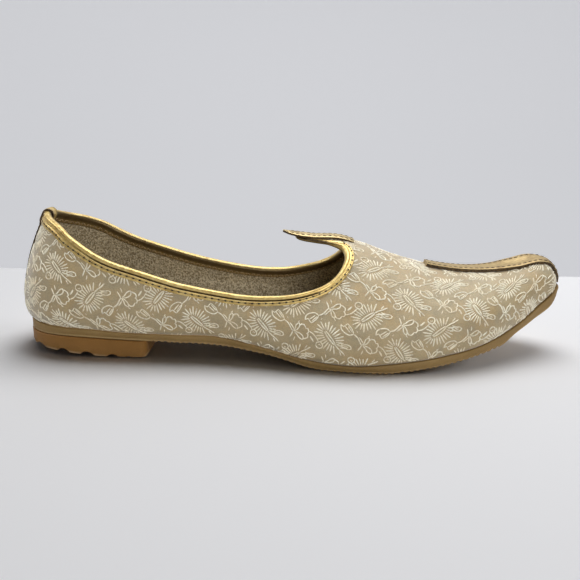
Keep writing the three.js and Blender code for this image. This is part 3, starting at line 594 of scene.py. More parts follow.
def flat_repeat():
    """Mesh of one flat repeat, in shares of the chart across and metres high."""
    across = np.array([-1, -0.55, 0.55, 1])  # corners of a thread's section, from side to side
    rise = np.array([0, 1, 1, 0])
    points, faces = [], []
    count = 0
    for flip, (shift_x, shift_y) in ((1, (0, 0)), (-1, SECOND_GROUP)):
        for width, marks in leaf_strokes() + flower_strokes() + STALK:
            line = through(marks) * [1, flip]
            line += [FIRST_LEAF + shift_x * REPEAT["along"], shift_y * REPEAT["up"]]
            along = unit(np.gradient(line, axis=0))
            left = np.stack([-along[:, 1], along[:, 0]], -1)
            ends = np.minimum(np.arange(len(line)), np.arange(len(line))[::-1])
            full = np.where(ends == 0, 0.5, 1)
            spread = width / 2 * THREAD["broad"] * full[:, None] * across
            flat = (line[:, None, :] + left[:, None, :] * spread[..., None] - CHART_CORNER) / CHART_SIZE
            height = (THREAD["height"] * full[:, None] * rise - THREAD["sunk"]) * 0.001
            points.append(np.concatenate([flat, height[..., None]], -1).reshape(-1, 3))
            faces.append(grid_faces(len(line), len(across), count)[:, ::-1])
            count += len(line) * len(across)
    return np.concatenate(points), np.concatenate(faces)


def tree_of(name, sockets):
    """New geometry tree that takes and gives a geometry, with further named inputs."""
    tree = bpy.data.node_groups.new(name, "GeometryNodeTree")
    tree.interface.new_socket("Geometry", in_out="INPUT", socket_type="NodeSocketGeometry")
    for label, kind in sockets:
        tree.interface.new_socket(label, in_out="INPUT", socket_type=kind)
    tree.interface.new_socket("Geometry", in_out="OUTPUT", socket_type="NodeSocketGeometry")
    return tree, tree.nodes.new("NodeGroupInput").outputs


def finish_tree(tree, shape, material):
    """Last nodes of a tree: smooth faces, the material and the way out."""
    smooth = node(tree, "GeometryNodeSetShadeSmooth", {"Geometry": shape.outputs[0]})
    made = node(tree, "GeometryNodeSetMaterial", {"Geometry": smooth.outputs[0], "Material": material})
    node(tree, "NodeGroupOutput", {0: made.outputs[0]})


def grown(name, base, tree, values):
    """Plain mesh object that a geometry tree makes from a base object, which is removed."""
    modifier = base.modifiers.new(tree.name, "NODES")
    modifier.node_group = tree
    for item in tree.interface.items_tree:
        if item.in_out == "INPUT" and item.name in values:
            modifier[item.identifier] = values[item.name]
    depsgraph = bpy.context.evaluated_depsgraph_get()
    mesh = bpy.data.meshes.new_from_object(base.evaluated_get(depsgraph))
    mesh.name = name
    bpy.data.objects.remove(base)
    return placed(name, mesh)


def pattern_tree():
    """Repeats a flat pattern and lays it on the cloth by the cloth's chart."""
    tree, given = tree_of("woven_pattern", [
        ("Cloth", "NodeSocketObject"), ("Thread", "NodeSocketMaterial"), ("Along", "NodeSocketFloat"),
        ("Up", "NodeSocketFloat"), ("Columns", "NodeSocketInt"), ("Rows", "NodeSocketInt"),
    ])
    column = node(tree, "GeometryNodeMeshLine", {"Count": given["Columns"]})
    row = node(tree, "GeometryNodeMeshLine", {"Count": given["Rows"]})
    step_along = node(tree, "ShaderNodeCombineXYZ", {"X": given["Along"]})
    step_up = node(tree, "ShaderNodeCombineXYZ", {"Y": given["Up"]})
    tree.links.new(step_along.outputs[0], column.inputs["Offset"])
    tree.links.new(step_up.outputs[0], row.inputs["Offset"])

    def repeated(points, instance):
        return node(tree, "GeometryNodeInstanceOnPoints",
                    {"Points": points.outputs[0], "Instance": instance})

    in_rows = repeated(row, repeated(column, given["Geometry"]).outputs[0])
    flat = node(tree, "GeometryNodeRealizeInstances", {"Geometry": in_rows.outputs[0]})
    cloth = node(tree, "GeometryNodeObjectInfo", {"Object": given["Cloth"]}).outputs["Geometry"]
    chart = node(tree, "GeometryNodeInputNamedAttribute", {"Name": "cloth"}, data_type="FLOAT_VECTOR")
    way_out = node(tree, "GeometryNodeInputNamedAttribute", {"Name": "out"}, data_type="FLOAT_VECTOR")
    here = node(tree, "GeometryNodeInputPosition").outputs[0]

    def on_cloth(value):
        return node(tree, "GeometryNodeSampleUVSurface",
                    {"Mesh": cloth, "Value": value, "Source UV Map": chart.outputs[0], "Sample UV": here},
                    data_type="FLOAT_VECTOR")

    spot, normal = on_cloth(here), on_cloth(way_out.outputs[0])
    missed = node(tree, "FunctionNodeBooleanMath", {0: spot.outputs["Is Valid"]}, operation="NOT")
    kept = node(tree, "GeometryNodeDeleteGeometry",
                {"Geometry": flat.outputs[0], "Selection": missed.outputs[0]})
    height = node(tree, "ShaderNodeSeparateXYZ", {0: here}).outputs["Z"]
    lift = node(tree, "ShaderNodeVectorMath", {0: normal.outputs["Value"], "Scale": height},
                operation="SCALE")
    place = node(tree, "ShaderNodeVectorMath", {0: spot.outputs["Value"], 1: lift.outputs[0]},
                 operation="ADD")
    laid = node(tree, "GeometryNodeSetPosition",
                {"Geometry": kept.outputs[0], "Position": place.outputs[0]})
    finish_tree(tree, laid, given["Thread"])
    return tree


def silver_thread():
    """Pale silver thread with a soft shine, and a painted glint that comes and goes along it: its colour
    dims in patches.
    """
    material, tree, shader, place = new_material("silver_thread", Roughness=0.36, Specular_IOR_Level=1.0,
                                                 Sheen_Weight=0.2)
    tint = ramp(tree, noise(tree, place, 90), 0.35, 0.65)
    strands = ramp(tree, noise(tree, place, 2600, 2), 0.3, 0.7)
    strand_grain_and_painted_glint = ramp(tree, noise(tree, place, 900, 2), 0.5, 0.95)
    base = mix(tree, tint, colour(255, 250, 228), colour(246, 233, 202))
    base = mix(tree, ramp(tree, strands, 0, 9), base, colour(200, 186, 160))
    # Painted glint: the thread darkens in patches, standing in for shine that fades and returns along it.
    base = mix(tree, strand_grain_and_painted_glint, base, colour(150, 128, 90))
    tree.links.new(base, shader.inputs["Base Color"])
    bumped(tree, shader, strands, 0.3, 0.0002)
    return material


def keep_outs(mesh, outs):
    """Keeps the way out at each point of a mesh, for a geometry tree to read."""
    layer = mesh.attributes.new("out", "FLOAT_VECTOR", "POINT")
    layer.data.foreach_set("vector", outs.astype(np.float32).ravel())


chart_mesh = mesh_of("cloth_chart", to_frame(chart_points), faces=chart_faces.tolist())
keep_chart(chart_mesh, chart_uv)
keep_outs(chart_mesh, chart_outs)
chart_object = placed("cloth_chart", chart_mesh)

repeat_points, repeat_faces = flat_repeat()
repeat_mesh = mesh_of("flat_repeat", repeat_points, faces=repeat_faces.tolist())
repeat_along, repeat_up = REPEAT["along"] / CHART_SIZE, REPEAT["up"] / CHART_SIZE
repeat_start = -REPEAT["columns_before"] * repeat_along, -REPEAT["rows_below"] * repeat_up, 0
repeat_mesh.transform(Matrix.Translation(repeat_start))
threads = grown("brocade_threads", placed("flat_repeat", repeat_mesh), pattern_tree(), {
    "Cloth": chart_object, "Thread": silver_thread(), "Along": repeat_along, "Up": repeat_up,
    "Columns": REPEAT["columns"], "Rows": REPEAT["rows"],
})
bpy.data.objects.remove(chart_object)
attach(threads, "root")

# Insole: a stiff board under a dull lining cloth, laid on the sole inside the upper's lower edge.
# Only its top shows, down inside the shoe.
GAP = 0.3
INSOLE = {"thick": 2.4, "inset": 2.6, "end": 0.98, "sections": 90, "edge_in": 0.8, "edge_down": 0.6}


def outline_point(u, way, margin, z):
    """Point of the sole's outline, moved out by a margin, at height z."""
    base, along = last_point(u, 0, way), slope_along(u, 0, way)
    out = unit(np.stack([-along[..., 1], along[..., 0]], -1) * way)
    out = np.where((u <= 0)[..., None], [-1, 0], out)
    out = np.where((u >= 1)[..., None], [1, 0], out)
    flat = base[..., :2] + out * margin[..., None]
    return np.concatenate([flat, z[..., None]], -1)


def sole_rings(u, margins, heights):
    """Rings across the sole from half sections, a row of margins and heights for each place."""
    places = np.repeat(u[:, None], margins.shape[1], 1)
    outer = outline_point(places, -1, margins, heights)
    inner = outline_point(places, 1, margins, heights)
    return np.concatenate([outer, inner[:, ::-1]], 1)


def loft_faces(rings, sides, caps=(False, False), is_loop=False):
    """Faces of a skin over rings of corners, with a flat cap at either end."""
    bays = rings if is_loop else rings - 1
    i, j = np.meshgrid(np.arange(bays), np.arange(sides), indexing="ij")
    near, far = i * sides, (i + 1) % rings * sides
    k = (j + 1) % sides
    faces = np.stack([near + j, near + k, far + k, far + j], -1).reshape(-1, 4).tolist()
    if caps[0]:
        faces.append(list(range(sides))[::-1])
    if caps[1]:
        faces.append([(rings - 1) * sides + j for j in range(sides)])
    return faces


def insole_cloth():
    """Dull cover of the insole, darker than the lining as painted shade down inside the shoe."""
    material, tree, shader, place = new_material("insole_cloth", Roughness=0.8)
    specks = ramp(tree, noise(tree, place, 1000, 2, 0.7), 0.35, 0.68)
    # Darker than the lining: painted shade of the shoe's inside, where the insole lies.
    base = mix(tree, specks, colour(84, 72, 52), colour(150, 134, 104))
    tree.links.new(base, shader.inputs["Base Color"])
    bumped(tree, shader, specks, 0.4, 0.0003)
    return material


insole_u = np.linspace(0, float(travel_to(INSOLE["end"] * LENGTH)), INSOLE["sections"])
insole_z = last_point(insole_u, 0, 1)[:, 2]
insole_section = [-INSOLE["inset"] - INSOLE["edge_in"], -INSOLE["inset"], -INSOLE["inset"]]
insole_margins = np.repeat([insole_section], len(insole_u), 0)
insole_heights = insole_z[:, None] + [INSOLE["thick"], INSOLE["thick"] - INSOLE["edge_down"], 0]
insole_rings = sole_rings(insole_u, insole_margins, insole_heights)
insole = piece_of("insole_cover", insole_rings,
                  loft_faces(len(insole_u), insole_rings.shape[1], (False, True)), [insole_cloth()])
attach(insole, "root")
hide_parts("insole")

# Outsole: one band of moulded tan rubber from heel to toe tip, glued under the upper.
# Its lower edge is a fine lip, nicked all along by the tread underneath.
OUTSOLE = {
    "at": [0, .04, .1, .168, .252, .302, .359, .396, .433, .47, .507, .537, .564, .671, .715, .768,
           .822, .862, .893, .909, .946, .993, 1],
    "under": [10.6, 11.2, 11.8, 11.1, 10.1, 9.4, 9, 8.2, 6.7, 5.1, 2.9, .9, 0, 0, 1.2, 3.1,
              5.5, 7.8, 10.5, 13.9, 20, 30.1, 33],
    "lip": [1.2, 1.1, .9, .8, .8, .8, .8, .8, .8, .8, .8, .8, .8, .8, .8, .8,
            .8, .8, .9, 1, 1.2, 1.8, 2],
}
SOLE_EDGE = {"round": 0.6, "slant": 0.8}
UPRIGHT_BACK = 40  # sole and heel are upright at the back and slope in fully from here on
SOLE_LIP = {"high": 1.5, "step": 0.22}
TREAD = {"pitch": 3.3, "depth": 0.6, "from": 76, "to": 262}
SOLE_SECTIONS = 420
under_at = smooth_curve(OUTSOLE["at"], OUTSOLE["under"])
lip_at = smooth_curve(OUTSOLE["at"], OUTSOLE["lip"])


def rubber(name, light, dark, lip):
    """Matt moulded rubber with a fine grain; tone 1 is the paler rubbed lip."""
    material, tree, shader, place = new_material(name, Roughness=0.62, Specular_IOR_Level=0.35)
    clouds = ramp(tree, noise(tree, place, 55, 4), 0.3, 0.7)
    grain = noise(tree, place, 1800, 2)
    base = mix(tree, clouds, light, dark)
    tone = node(tree, "ShaderNodeAttribute", attribute_name="tone").outputs["Fac"]
    base = mix(tree, tone, base, lip)
    base = mix(tree, ramp(tree, grain, 0.2, 3), base, colour(70, 50, 30))
    tree.links.new(base, shader.inputs["Base Color"])
    scuffs = noise(tree, place, 240, 5, 0.7)
    height = node(tree, "ShaderNodeMath", {0: grain, 1: scuffs}, operation="ADD")
    bumped(tree, shader, height.outputs[0], 0.25, 0.0003)
    return material


def stacked(section, part, places):
    """One part of every point of a section, such as its height, at all the places along a piece."""
    return np.stack([np.broadcast_to(point[part], places.shape) for point in section], 1)


def make_outsole():
    """Rings of the sole with a tone for each point. A section's points are margin, height and tone."""
    u = np.linspace(0, 1, SOLE_SECTIONS)
    base = last_point(u, 0, 1)
    share = base[:, 0] / LENGTH
    lip, under, top = lip_at(share), under_at(share), base[:, 2] - GAP
    edge, slant = SOLE_EDGE["round"], SOLE_EDGE["slant"] * smooth_step(base[:, 0], 0, UPRIGHT_BACK)
    nick = np.clip(np.sin(2 * np.pi * base[:, 0] / TREAD["pitch"]) * 2, 0, 1) * TREAD["depth"]
    nick = nick * (base[:, 0] > TREAD["from"]) * (base[:, 0] < TREAD["to"])
    corner = [(1 - math.sin(t), 1 - math.cos(t)) for t in np.linspace(0, math.pi / 2, 4)]
    section = [(lip - 4, top, 0)]
    section += [(lip - edge * a, top - edge * b, 0) for a, b in corner]
    section += [
        (lip - slant * 0.45, (top + under) / 2 + 0.6, 0),
        (lip - slant * 0.7, under + SOLE_LIP["high"], 0),
        (lip - slant * 0.7 - SOLE_LIP["step"], under + SOLE_LIP["high"] - 0.15, 0),
        (lip - slant * 0.7 - SOLE_LIP["step"], under + SOLE_LIP["high"] - 0.3, 0.4),
        (lip - slant + 0.12, under + SOLE_LIP["high"] - 0.5, 1),
        (lip - slant, under + edge + nick * 0.5, 1),
        (lip - slant - edge * 0.3, under + edge * 0.3 + nick, 1),
        (lip - slant - edge, under + nick, 0.6),
        (lip - slant - edge - 1.6, under + nick, 0),
        (lip - slant - edge - 2, under, 0),
    ]
    tones = [point[2] for point in section]
    rings = sole_rings(u, stacked(section, 0, u), stacked(section, 1, u))
    return rings, np.tile(tones + tones[::-1], len(u))


sole_points, sole_tones = make_outsole()
SOLE_RUBBER = rubber("sole_rubber", colour(165, 135, 84), colour(150, 121, 73), colour(177, 148, 101))
outsole = piece_of("outsole_band", sole_points, loft_faces(SOLE_SECTIONS, sole_points.shape[1]),
                   [SOLE_RUBBER], tones=sole_tones, sharp_deg=50)
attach(outsole, "root")
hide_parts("outsole")

# Heel: a low block of browner rubber glued under the back of the sole.
# Shallow rounded grooves run across its tread and show as notches along its side.
HEEL = {"breast": 73, "corner": 4, "lip": 0.3, "taper": 1.1, "foot": 0.8}
TREAD_LIFT = {"rise": 3, "run": 63, "level": 12, "nose": 2, "nose_run": 3}
HEEL_GROOVES = {
    "at": [11.5, 26, 39.6, 54, 62.8],
    "width": [7, 7, 7.5, 7, 3.2],
    "depth": [1.9, 1.9, 1.9, 1.9, 1.2],
}
HEEL_SECTIONS = {"side": 190, "corner": 10}
HEEL_WEAR = [0, 0, 0, 0.1, 0.6, 1, 1, 0]  # how pale each line round the heel is rubbed


def tread_at(x):
    """Height of the tread over the floor at x: it lifts towards the back and at its front edge."""
    back = smooth_step(TREAD_LIFT["run"] - x, 0, TREAD_LIFT["run"] - TREAD_LIFT["level"])
    front = np.clip(1 - (HEEL["breast"] - x) / TREAD_LIFT["nose_run"], 0, 1)
    return TREAD_LIFT["rise"] * back + TREAD_LIFT["nose"] * front ** 2


def groove_height(x):
    """Height of the tread's underside at x, where the grooves cut into it."""
    height = tread_at(x)
    for at, width, depth in zip(*HEEL_GROOVES.values()):
        radius = width * width / (8 * depth) + depth / 2
        inside = np.maximum(radius * radius - (x - at) ** 2, 0)
        height = np.maximum(height, np.sqrt(inside) + tread_at(at) + depth - radius)
    return height


def make_heel():
    """Rings of the heel from its back to its front, with rounded corners at the front."""
    start = HEEL["breast"] - HEEL["corner"]
    turns = np.linspace(0, math.pi / 2, HEEL_SECTIONS["corner"] + 1)[1:]
    sides = np.linspace(0, float(travel_to(start)), HEEL_SECTIONS["side"])
    u = np.concatenate([sides, travel_to(start + HEEL["corner"] * np.sin(turns))])
    base = last_point(u, 0, 1)
    share = base[:, 0] / LENGTH
    into = np.clip((place_at(u) - start) / HEEL["corner"], 0, 1)
    inset = HEEL["corner"] * (1 - np.sqrt(1 - into * into))
    slope = smooth_step(base[:, 0], 0, UPRIGHT_BACK)
    edge = lip_at(share) - SOLE_EDGE["slant"] * slope + HEEL["lip"] - inset
    top, low, tread = under_at(share) - GAP, edge - HEEL["taper"] * slope, tread_at(base[:, 0])
    foot = HEEL["foot"]
    section = [
        (edge - 3, top), (edge - 0.35, top), (edge, top - 0.35),
        (low, tread + foot + 0.6), (low - 0.15, tread + foot), (low - 0.35, tread + foot * 0.5),
        (low - foot / 2, tread), (low - foot / 2 - 3, tread),
    ]
    heights = np.maximum(stacked(section, 1, u), groove_height(base[:, 0])[:, None])
    return sole_rings(u, stacked(section, 0, u), heights)


heel_points = make_heel()
heel_faces = loft_faces(len(heel_points), heel_points.shape[1], (False, True))
HEEL_RUBBER = rubber("heel_rubber", colour(162, 115, 55), colour(149, 105, 48), colour(205, 172, 128))
heel = piece_of("heel_block", heel_points, heel_faces, [HEEL_RUBBER],
                tones=np.tile(HEEL_WEAR + HEEL_WEAR[::-1], len(heel_points)))
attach(heel, "root")
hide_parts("heel")

# Collar binding: one strip of gold foil leather folded over the topline and sewn through.
# A cord inside makes its rolled bead, and a groove lies between the bead and the flat leaf.
# Painted shade darkens the groove, the bead's inner half and the inner leaf.
COLLAR_TRIM = {"wall": WALL, "gap": GAP, "ease": 0.2, "leaf": 0.7, "bead_out": 2.15, "bead_up": 1.6}
TONGUE_TRIM = {"wall": TONGUE_WALL, "gap": 0.1, "ease": 0.1, "leaf": 0.35, "bead_out": 0.9, "bead_up": 0.8}
# Angles round the bead, and how dark its painted shade is at each of them, on the collar and on the
# tongue.
BEAD_ANGLES_DEG = np.array([-38, -20, 0, 20, 40, 60, 80, 100, 120, 140, 160, 178])
COLLAR_BEAD_PAINTED_SHADE = np.clip((BEAD_ANGLES_DEG - 75) / 60, 0, 0.9)
# On the tongue the roll is brown with painted shade under the strap, darkest above and below.
TONGUE_ROLL_PAINTED_SHADE = 0.7 + 0.28 * np.clip((abs(BEAD_ANGLES_DEG - 95) - 10) / 35, 0, 1)
GROOVE = {"rise": 0.3, "down": 1.3}
# Rows of the topline along which the groove is darkened by painted shade, and how dark it is.
GROOVE_ROWS = {"at": [0, 1.6, 3.4, 8, 9.2, 17], "dark": [0, 0, 1, 1, 0, 0]}
TONGUE_ROWS = (12.2, 13.4)  # from the first to the second the roll takes the brown painted shade that it has under the tongue strap
BINDING_STEPS = 12
leaf_depth = smooth_curve(np.arange(TIP_ROW + 1), TOPLINE["leaf"])
painted_groove_shade = smooth_curve(GROOVE_ROWS["at"], GROOVE_ROWS["dark"])


def gold_foil(name, light, mid, dark, rough=0.3, metal=0.9):
    """Gold foil on leather: creased, mirror-like in the light, dark brown where tone is 1, which paints
    shade.
    """
    material, tree, shader, place = new_material(name, Metallic=metal)
    crinkle = noise(tree, place, 420, 4, 0.6)
    grain = noise(tree, place, 1500, 2)
    worn = ramp(tree, noise(tree, place, 130, 4), 0.55, 0.8)
    base = mix(tree, ramp(tree, crinkle, 0.35, 0.65), mid, light)
    base = mix(tree, worn, base, dark)
    tone = node(tree, "ShaderNodeAttribute", attribute_name="tone").outputs["Fac"]
    # Tone paints shade: the gold goes dark brown where it is 1.
    base = mix(tree, tone, base, colour(58, 38, 16))
    tree.links.new(base, shader.inputs["Base Color"])
    gloss = node(tree, "ShaderNodeMapRange",
                 {"Value": crinkle, "To Min": rough - 0.08, "To Max": rough + 0.14})
    tree.links.new(gloss.outputs["Result"], shader.inputs["Roughness"])
    height = node(tree, "ShaderNodeMath", {0: crinkle, 1: grain}, operation="ADD")
    bumped(tree, shader, height.outputs[0], 0.22, 0.0005)
    return material


COLLAR_GOLD = gold_foil("collar_gold", colour(242, 216, 146), colour(222, 188, 112), colour(168, 130, 68),
                        0.32, 0.55)


def trim_at(row):
    """Sizes of the binding at a row of the topline: it gets finer on the tongue."""
    u, v = topline_place(row, 1)
    wall = np.where(row > THROAT_ROW, wall_at(u, v), WALL)
    share = (WALL - wall) / (WALL - TONGUE_WALL)
    return {key: COLLAR_TRIM[key] + (TONGUE_TRIM[key] - COLLAR_TRIM[key]) * share for key in COLLAR_TRIM}


def place_in_wall(row, way, distance):
    """Place on the last a distance from the topline, square to it and into the wall."""
    u, v = topline_place(row, way)
    normal = outward(u, v, way)
    ahead = last_point(*topline_place(np.minimum(row + SMALL, TIP_ROW), way), way)
    along = unit(ahead - last_point(*topline_place(np.maximum(row - SMALL, 0), way), way))
    along = np.where((row <= 0)[:, None], [0, way, 0], along)
    along = np.where((row >= TIP_ROW)[:, None], [0, -way, 0], along)
    into = (np.cross(normal, along) * way)[:, None, :] * distance[..., None]
    du = (slope_along(u, v, way) / np.where(u <= 0, SMALL, 2 * SMALL)[:, None])[:, None, :]
    dv = (slope_up(u, v, way) / np.where(v >= 1, SMALL, 2 * SMALL)[:, None])[:, None, :]
    uu, uv, vv = (du * du).sum(-1), (du * dv).sum(-1), (dv * dv).sum(-1)
    pu, pv = (into * du).sum(-1), (into * dv).sum(-1)
    spread = uu * vv - uv * uv
    step_u, step_v = (pu * vv - pv * uv) / spread, (pv * uu - pu * uv) / spread
    new_u = np.where((row <= 0)[:, None], u[:, None], u[:, None] + step_u)
    new_v = np.where((row >= TIP_ROW)[:, None], v[:, None], np.minimum(v[:, None] + step_v, 1))
    return new_u, new_v


def binding_rings(row, way):
    """Rings of the binding on one side with a tone of painted shade for each point. A section's points are
    how far out from the middle of the wall, how far down from the topline, and tone."""
    trim, depth = trim_at(row), leaf_depth(row)
    seat = trim["wall"] / 2 + trim["gap"]
    inner = -seat - trim["ease"]
    leaf, groove, dark = trim["leaf"], GROOVE["down"], painted_groove_shade(row)
    hollow = leaf * 0.9 + (GROOVE["rise"] - leaf * 0.9) * dark
    on_tongue = smooth_step(row, *TONGUE_ROWS)
    # The groove between the outer leaf and the bead is darkened by painted shade, row by row.
    section = [
        (seat, depth, 0), (seat + leaf * 0.75, depth, 0), (seat + leaf, depth - 0.25, 0),
        (seat + leaf, groove + leaf + 0.3, 0), (seat + leaf * 0.85, groove + leaf, 0.2 * dark),
        (seat + hollow, groove + 0.6, 0.95 * dark), (seat + hollow, groove - 0.3, 0.95 * dark),
    ]
    # Painted shade round the bead: its inner half darkens, and on the tongue the roll under the strap
    # darkens to brown.
    for angle, shade, tongue_shade in zip(np.radians(BEAD_ANGLES_DEG), COLLAR_BEAD_PAINTED_SHADE, TONGUE_ROLL_PAINTED_SHADE):
        section.append((trim["bead_out"] * math.cos(angle), -trim["bead_up"] * math.sin(angle),
                        np.maximum(shade, tongue_shade * on_tongue)))
    # The inner leaf carries painted shade and a painted dark reflection, darkest just below the bead and
    # at its lower edge.
    section += [
        (inner - leaf, groove - 0.3, 0.9), (inner - leaf, groove + 0.6, 0.8),
        (inner - leaf, groove + 1.3, 0.6), (inner - leaf, depth - 0.25, 0.5),
        (inner - leaf * 0.7, depth, 0.9), (inner, depth, 0),
        (inner, -trim["gap"], 0), (seat, -trim["gap"], 0),
    ]
    outs, downs, tones = (stacked(section, part, row) for part in range(3))
    u, v = place_in_wall(row, way, downs)
    return off_last(u, v, way, outs - trim["wall"][:, None] / 2), tones.ravel()


binding_rows = np.linspace(0, TIP_ROW, TIP_ROW * BINDING_STEPS + 1)
inner_rings, inner_tones = binding_rings(binding_rows, 1)
outer_rings, outer_tones = binding_rings(binding_rows[1:-1][::-1], -1)
ring_points = np.concatenate([inner_rings, outer_rings])
binding = piece_of("collar_binding_gold", ring_points,
                   loft_faces(len(ring_points), ring_points.shape[1], is_loop=True), [COLLAR_GOLD],
                   tones=np.concatenate([inner_tones, outer_tones]), sharp_deg=60)
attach(binding, "root")
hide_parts("collar_binding")

# Stitches of the binding: a row of dark knots on a thin thread, sunk into the outer leaf, and
# paler thread that zigzags along the inner leaf.
BINDING_STITCH = {"pitch": 3.5, "length": 1.5, "width": 0.95, "height": 0.5, "down": 0.7}
BINDING_THREAD = {"pitch": 1.75, "length": 1.9, "width": 0.26, "height": 0.3, "down": 0.7}
LINING_STITCH = {"pitch": 1.7, "length": 2.6, "width": 0.95, "height": 0.9, "down": 0.7, "tilt_deg": 50}
BINDING_SEAM = (0.35, THROAT_ROW + 1.2, 260)  # first and last row of the topline, and points


def sewing_tree():
    """Lays rounded stitches along lines at an even pitch, tilted to alternate sides."""
    tree, given = tree_of("sewn_rows", [
        ("Pitch", "NodeSocketFloat"), ("Length", "NodeSocketFloat"), ("Width", "NodeSocketFloat"),
        ("Height", "NodeSocketFloat"), ("Tilt", "NodeSocketFloat"), ("Thread", "NodeSocketMaterial"),
    ])
    line = node(tree, "GeometryNodeMeshToCurve", {"Mesh": given["Geometry"]})
    spots = node(tree, "GeometryNodeResampleCurve", {"Curve": line.outputs[0], "Length": given["Pitch"]},
                 mode="LENGTH")
    way_out = node(tree, "GeometryNodeInputNamedAttribute", {"Name": "out"}, data_type="FLOAT_VECTOR")
    along = node(tree, "GeometryNodeInputTangent")
    facing = node(tree, "FunctionNodeAxesToRotation", {0: way_out.outputs[0], 1: along.outputs[0]},
                  primary_axis="Z", secondary_axis="X")
    turn = node(tree, "ShaderNodeMath", {0: node(tree, "GeometryNodeInputIndex").outputs[0], 1: 2.0},
                operation="MODULO")
    side = node(tree, "ShaderNodeMath", {0: turn.outputs[0], 1: -2.0, 2: 1.0}, operation="MULTIPLY_ADD")
    tilt = node(tree, "ShaderNodeMath", {0: side.outputs[0], 1: given["Tilt"]}, operation="MULTIPLY")
    lean = node(tree, "FunctionNodeAxisAngleToRotation", {"Axis": (0, 0, 1), "Angle": tilt.outputs[0]})
    leaning = node(tree, "FunctionNodeRotateRotation", {0: facing.outputs[0], 1: lean.outputs[0]},
                   rotation_space="LOCAL")
    size = node(tree, "ShaderNodeCombineXYZ",
                {"X": given["Length"], "Y": given["Width"], "Z": given["Height"]})
    stitch = node(tree, "GeometryNodeMeshUVSphere", {"Segments": 8, "Rings": 5, "Radius": 0.5})
    sewn = node(tree, "GeometryNodeInstanceOnPoints", {
        "Points": spots.outputs[0], "Instance": stitch.outputs[0],
        "Rotation": leaning.outputs[0], "Scale": size.outputs[0],
    })
    solid = node(tree, "GeometryNodeRealizeInstances", {"Geometry": sewn.outputs[0]})
    finish_tree(tree, solid, given["Thread"])
    return tree


SEWING = sewing_tree()


def sewn_rows(name, lines, stitch, thread):
    """One piece of stitches along lines, each a pair of points in mm and ways out."""
    points = np.concatenate([line for line, _ in lines])
    outs = np.concatenate([out for _, out in lines])
    edges, start = [], 0
    for line, _ in lines:
        edges += [(start + i, start + i + 1) for i in range(len(line) - 1)]
        start += len(line)
    mesh = mesh_of(name + "_line", to_frame(points), edges)
    keep_outs(mesh, outs)
    values = {key.capitalize(): stitch[key] * 0.001 for key in ("pitch", "length", "width", "height")}
    values |= {"Tilt": math.radians(stitch.get("tilt_deg", 0)), "Thread": thread}
    piece = grown(name, placed(mesh.name, mesh), SEWING, values)
    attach(piece, "root")


def sewing_thread(name, light, dark, rough=0.6):
    """Twisted thread, darker between its strands."""
    material, tree, shader, place = new_material(name, Roughness=rough)
    strand_grain_and_painted_glint = ramp(tree, noise(tree, place, 2400, 2), 0.3, 0.7)
    tree.links.new(mix(tree, strand_grain_and_painted_glint, dark, light), shader.inputs["Base Color"])
    bumped(tree, shader, strand_grain_and_painted_glint, 0.3, 0.0002)
    return material


def leaf_line(way, down_share, inside):
    """Line along the outer or inner leaf of the binding, and the way out from it."""
    row = np.linspace(*BINDING_SEAM)
    trim = trim_at(row)
    u, v = place_in_wall(row, way, (leaf_depth(row) * down_share)[:, None])
    u, v = u[:, 0], v[:, 0]
    out = outward(u, v, way)
    if inside:
        amount = -trim["wall"] - trim["gap"] - trim["ease"] - trim["leaf"]
        return off_last(u, v, way, amount), -out
    return off_last(u, v, way, trim["gap"] + trim["leaf"]), out


DARK_THREAD = sewing_thread("dark_thread", colour(70, 48, 22), colour(38, 24, 10))
LINING_THREAD = sewing_thread("lining_thread", colour(196, 168, 120), colour(110, 78, 50), 0.4)
for label, stitch, thread, inside in (
    ("binding_stitches", BINDING_STITCH, DARK_THREAD, False),
    ("binding_thread", BINDING_THREAD, DARK_THREAD, False),
    ("lining_stitches", LINING_STITCH, LINING_THREAD, True),
):
    seams = [leaf_line(way, stitch["down"], inside) for way in (1, -1)]
    sewn_rows(label, seams, stitch, thread)

# Tongue strap and toe strap: strips of gold foil leather laid along the ridge, cut raw at the
# edges and sewn down by two rows of stitches. One points back over the tongue, one over the toe.
TONGUE_OFF = TONGUE_TRIM["bead_out"] - TONGUE_WALL / 2 + GAP
TONGUE_STRAP = {
    "at": [.4855, .497, .51, .537, .592, .617],
    "half": [.6, 3, 4.2, 4.6, 4.6, 4.6],
    "off": [TONGUE_OFF, TONGUE_OFF, TONGUE_OFF, TONGUE_OFF, .7, -.5],
    "lift": [0, 0, 0, 0, 0, 0],
    "thick": 1.2,
    "backing": 0,
    "seam": (0.503, 0.612, 90),
}
TOE_STRAP = {
    "at": [.752, .83, .88, .915, .945, .965, .985, .9975, .9998],
    "half": [5, 5, 5.2, 5.4, 5.4, 5.2, 4.8, 3.8, 1.6],
    "off": [.8, 1, .95, .85, .55, .5, .5, .5, .5],
    "lift": [0, .3, 1.2, 2.4, 2.8, 1.6, .3, 0, 0],
    "thick": 1.3,
    # The backing stretches the dark raw edge down into the gap under the strap: partly a second layer of
    # leather, partly painted shade of that gap.
    "backing": 0.65,
    "seam": (0.757, 0.992, 160),
}
STRAP_SECTIONS = 120
STRAP_ACROSS = np.array([-1, -0.93, -0.6, -0.3, 0, 0.3, 0.6, 0.93, 1])
STRAP_CROWN = np.array([-0.18, 0, 0.06, 0.1, 0.1, 0.1, 0.06, 0, -0.18])
STRAP_STITCH = {"pitch": 2.9, "length": 2.3, "width": 0.95, "height": 0.55}
STRAP_SEAMS = (-0.7, 0.7)  # the two rows of stitches, as shares of the half width
RIDGE_MARKS = 121  # points of the line that a distance from the ridge is measured along


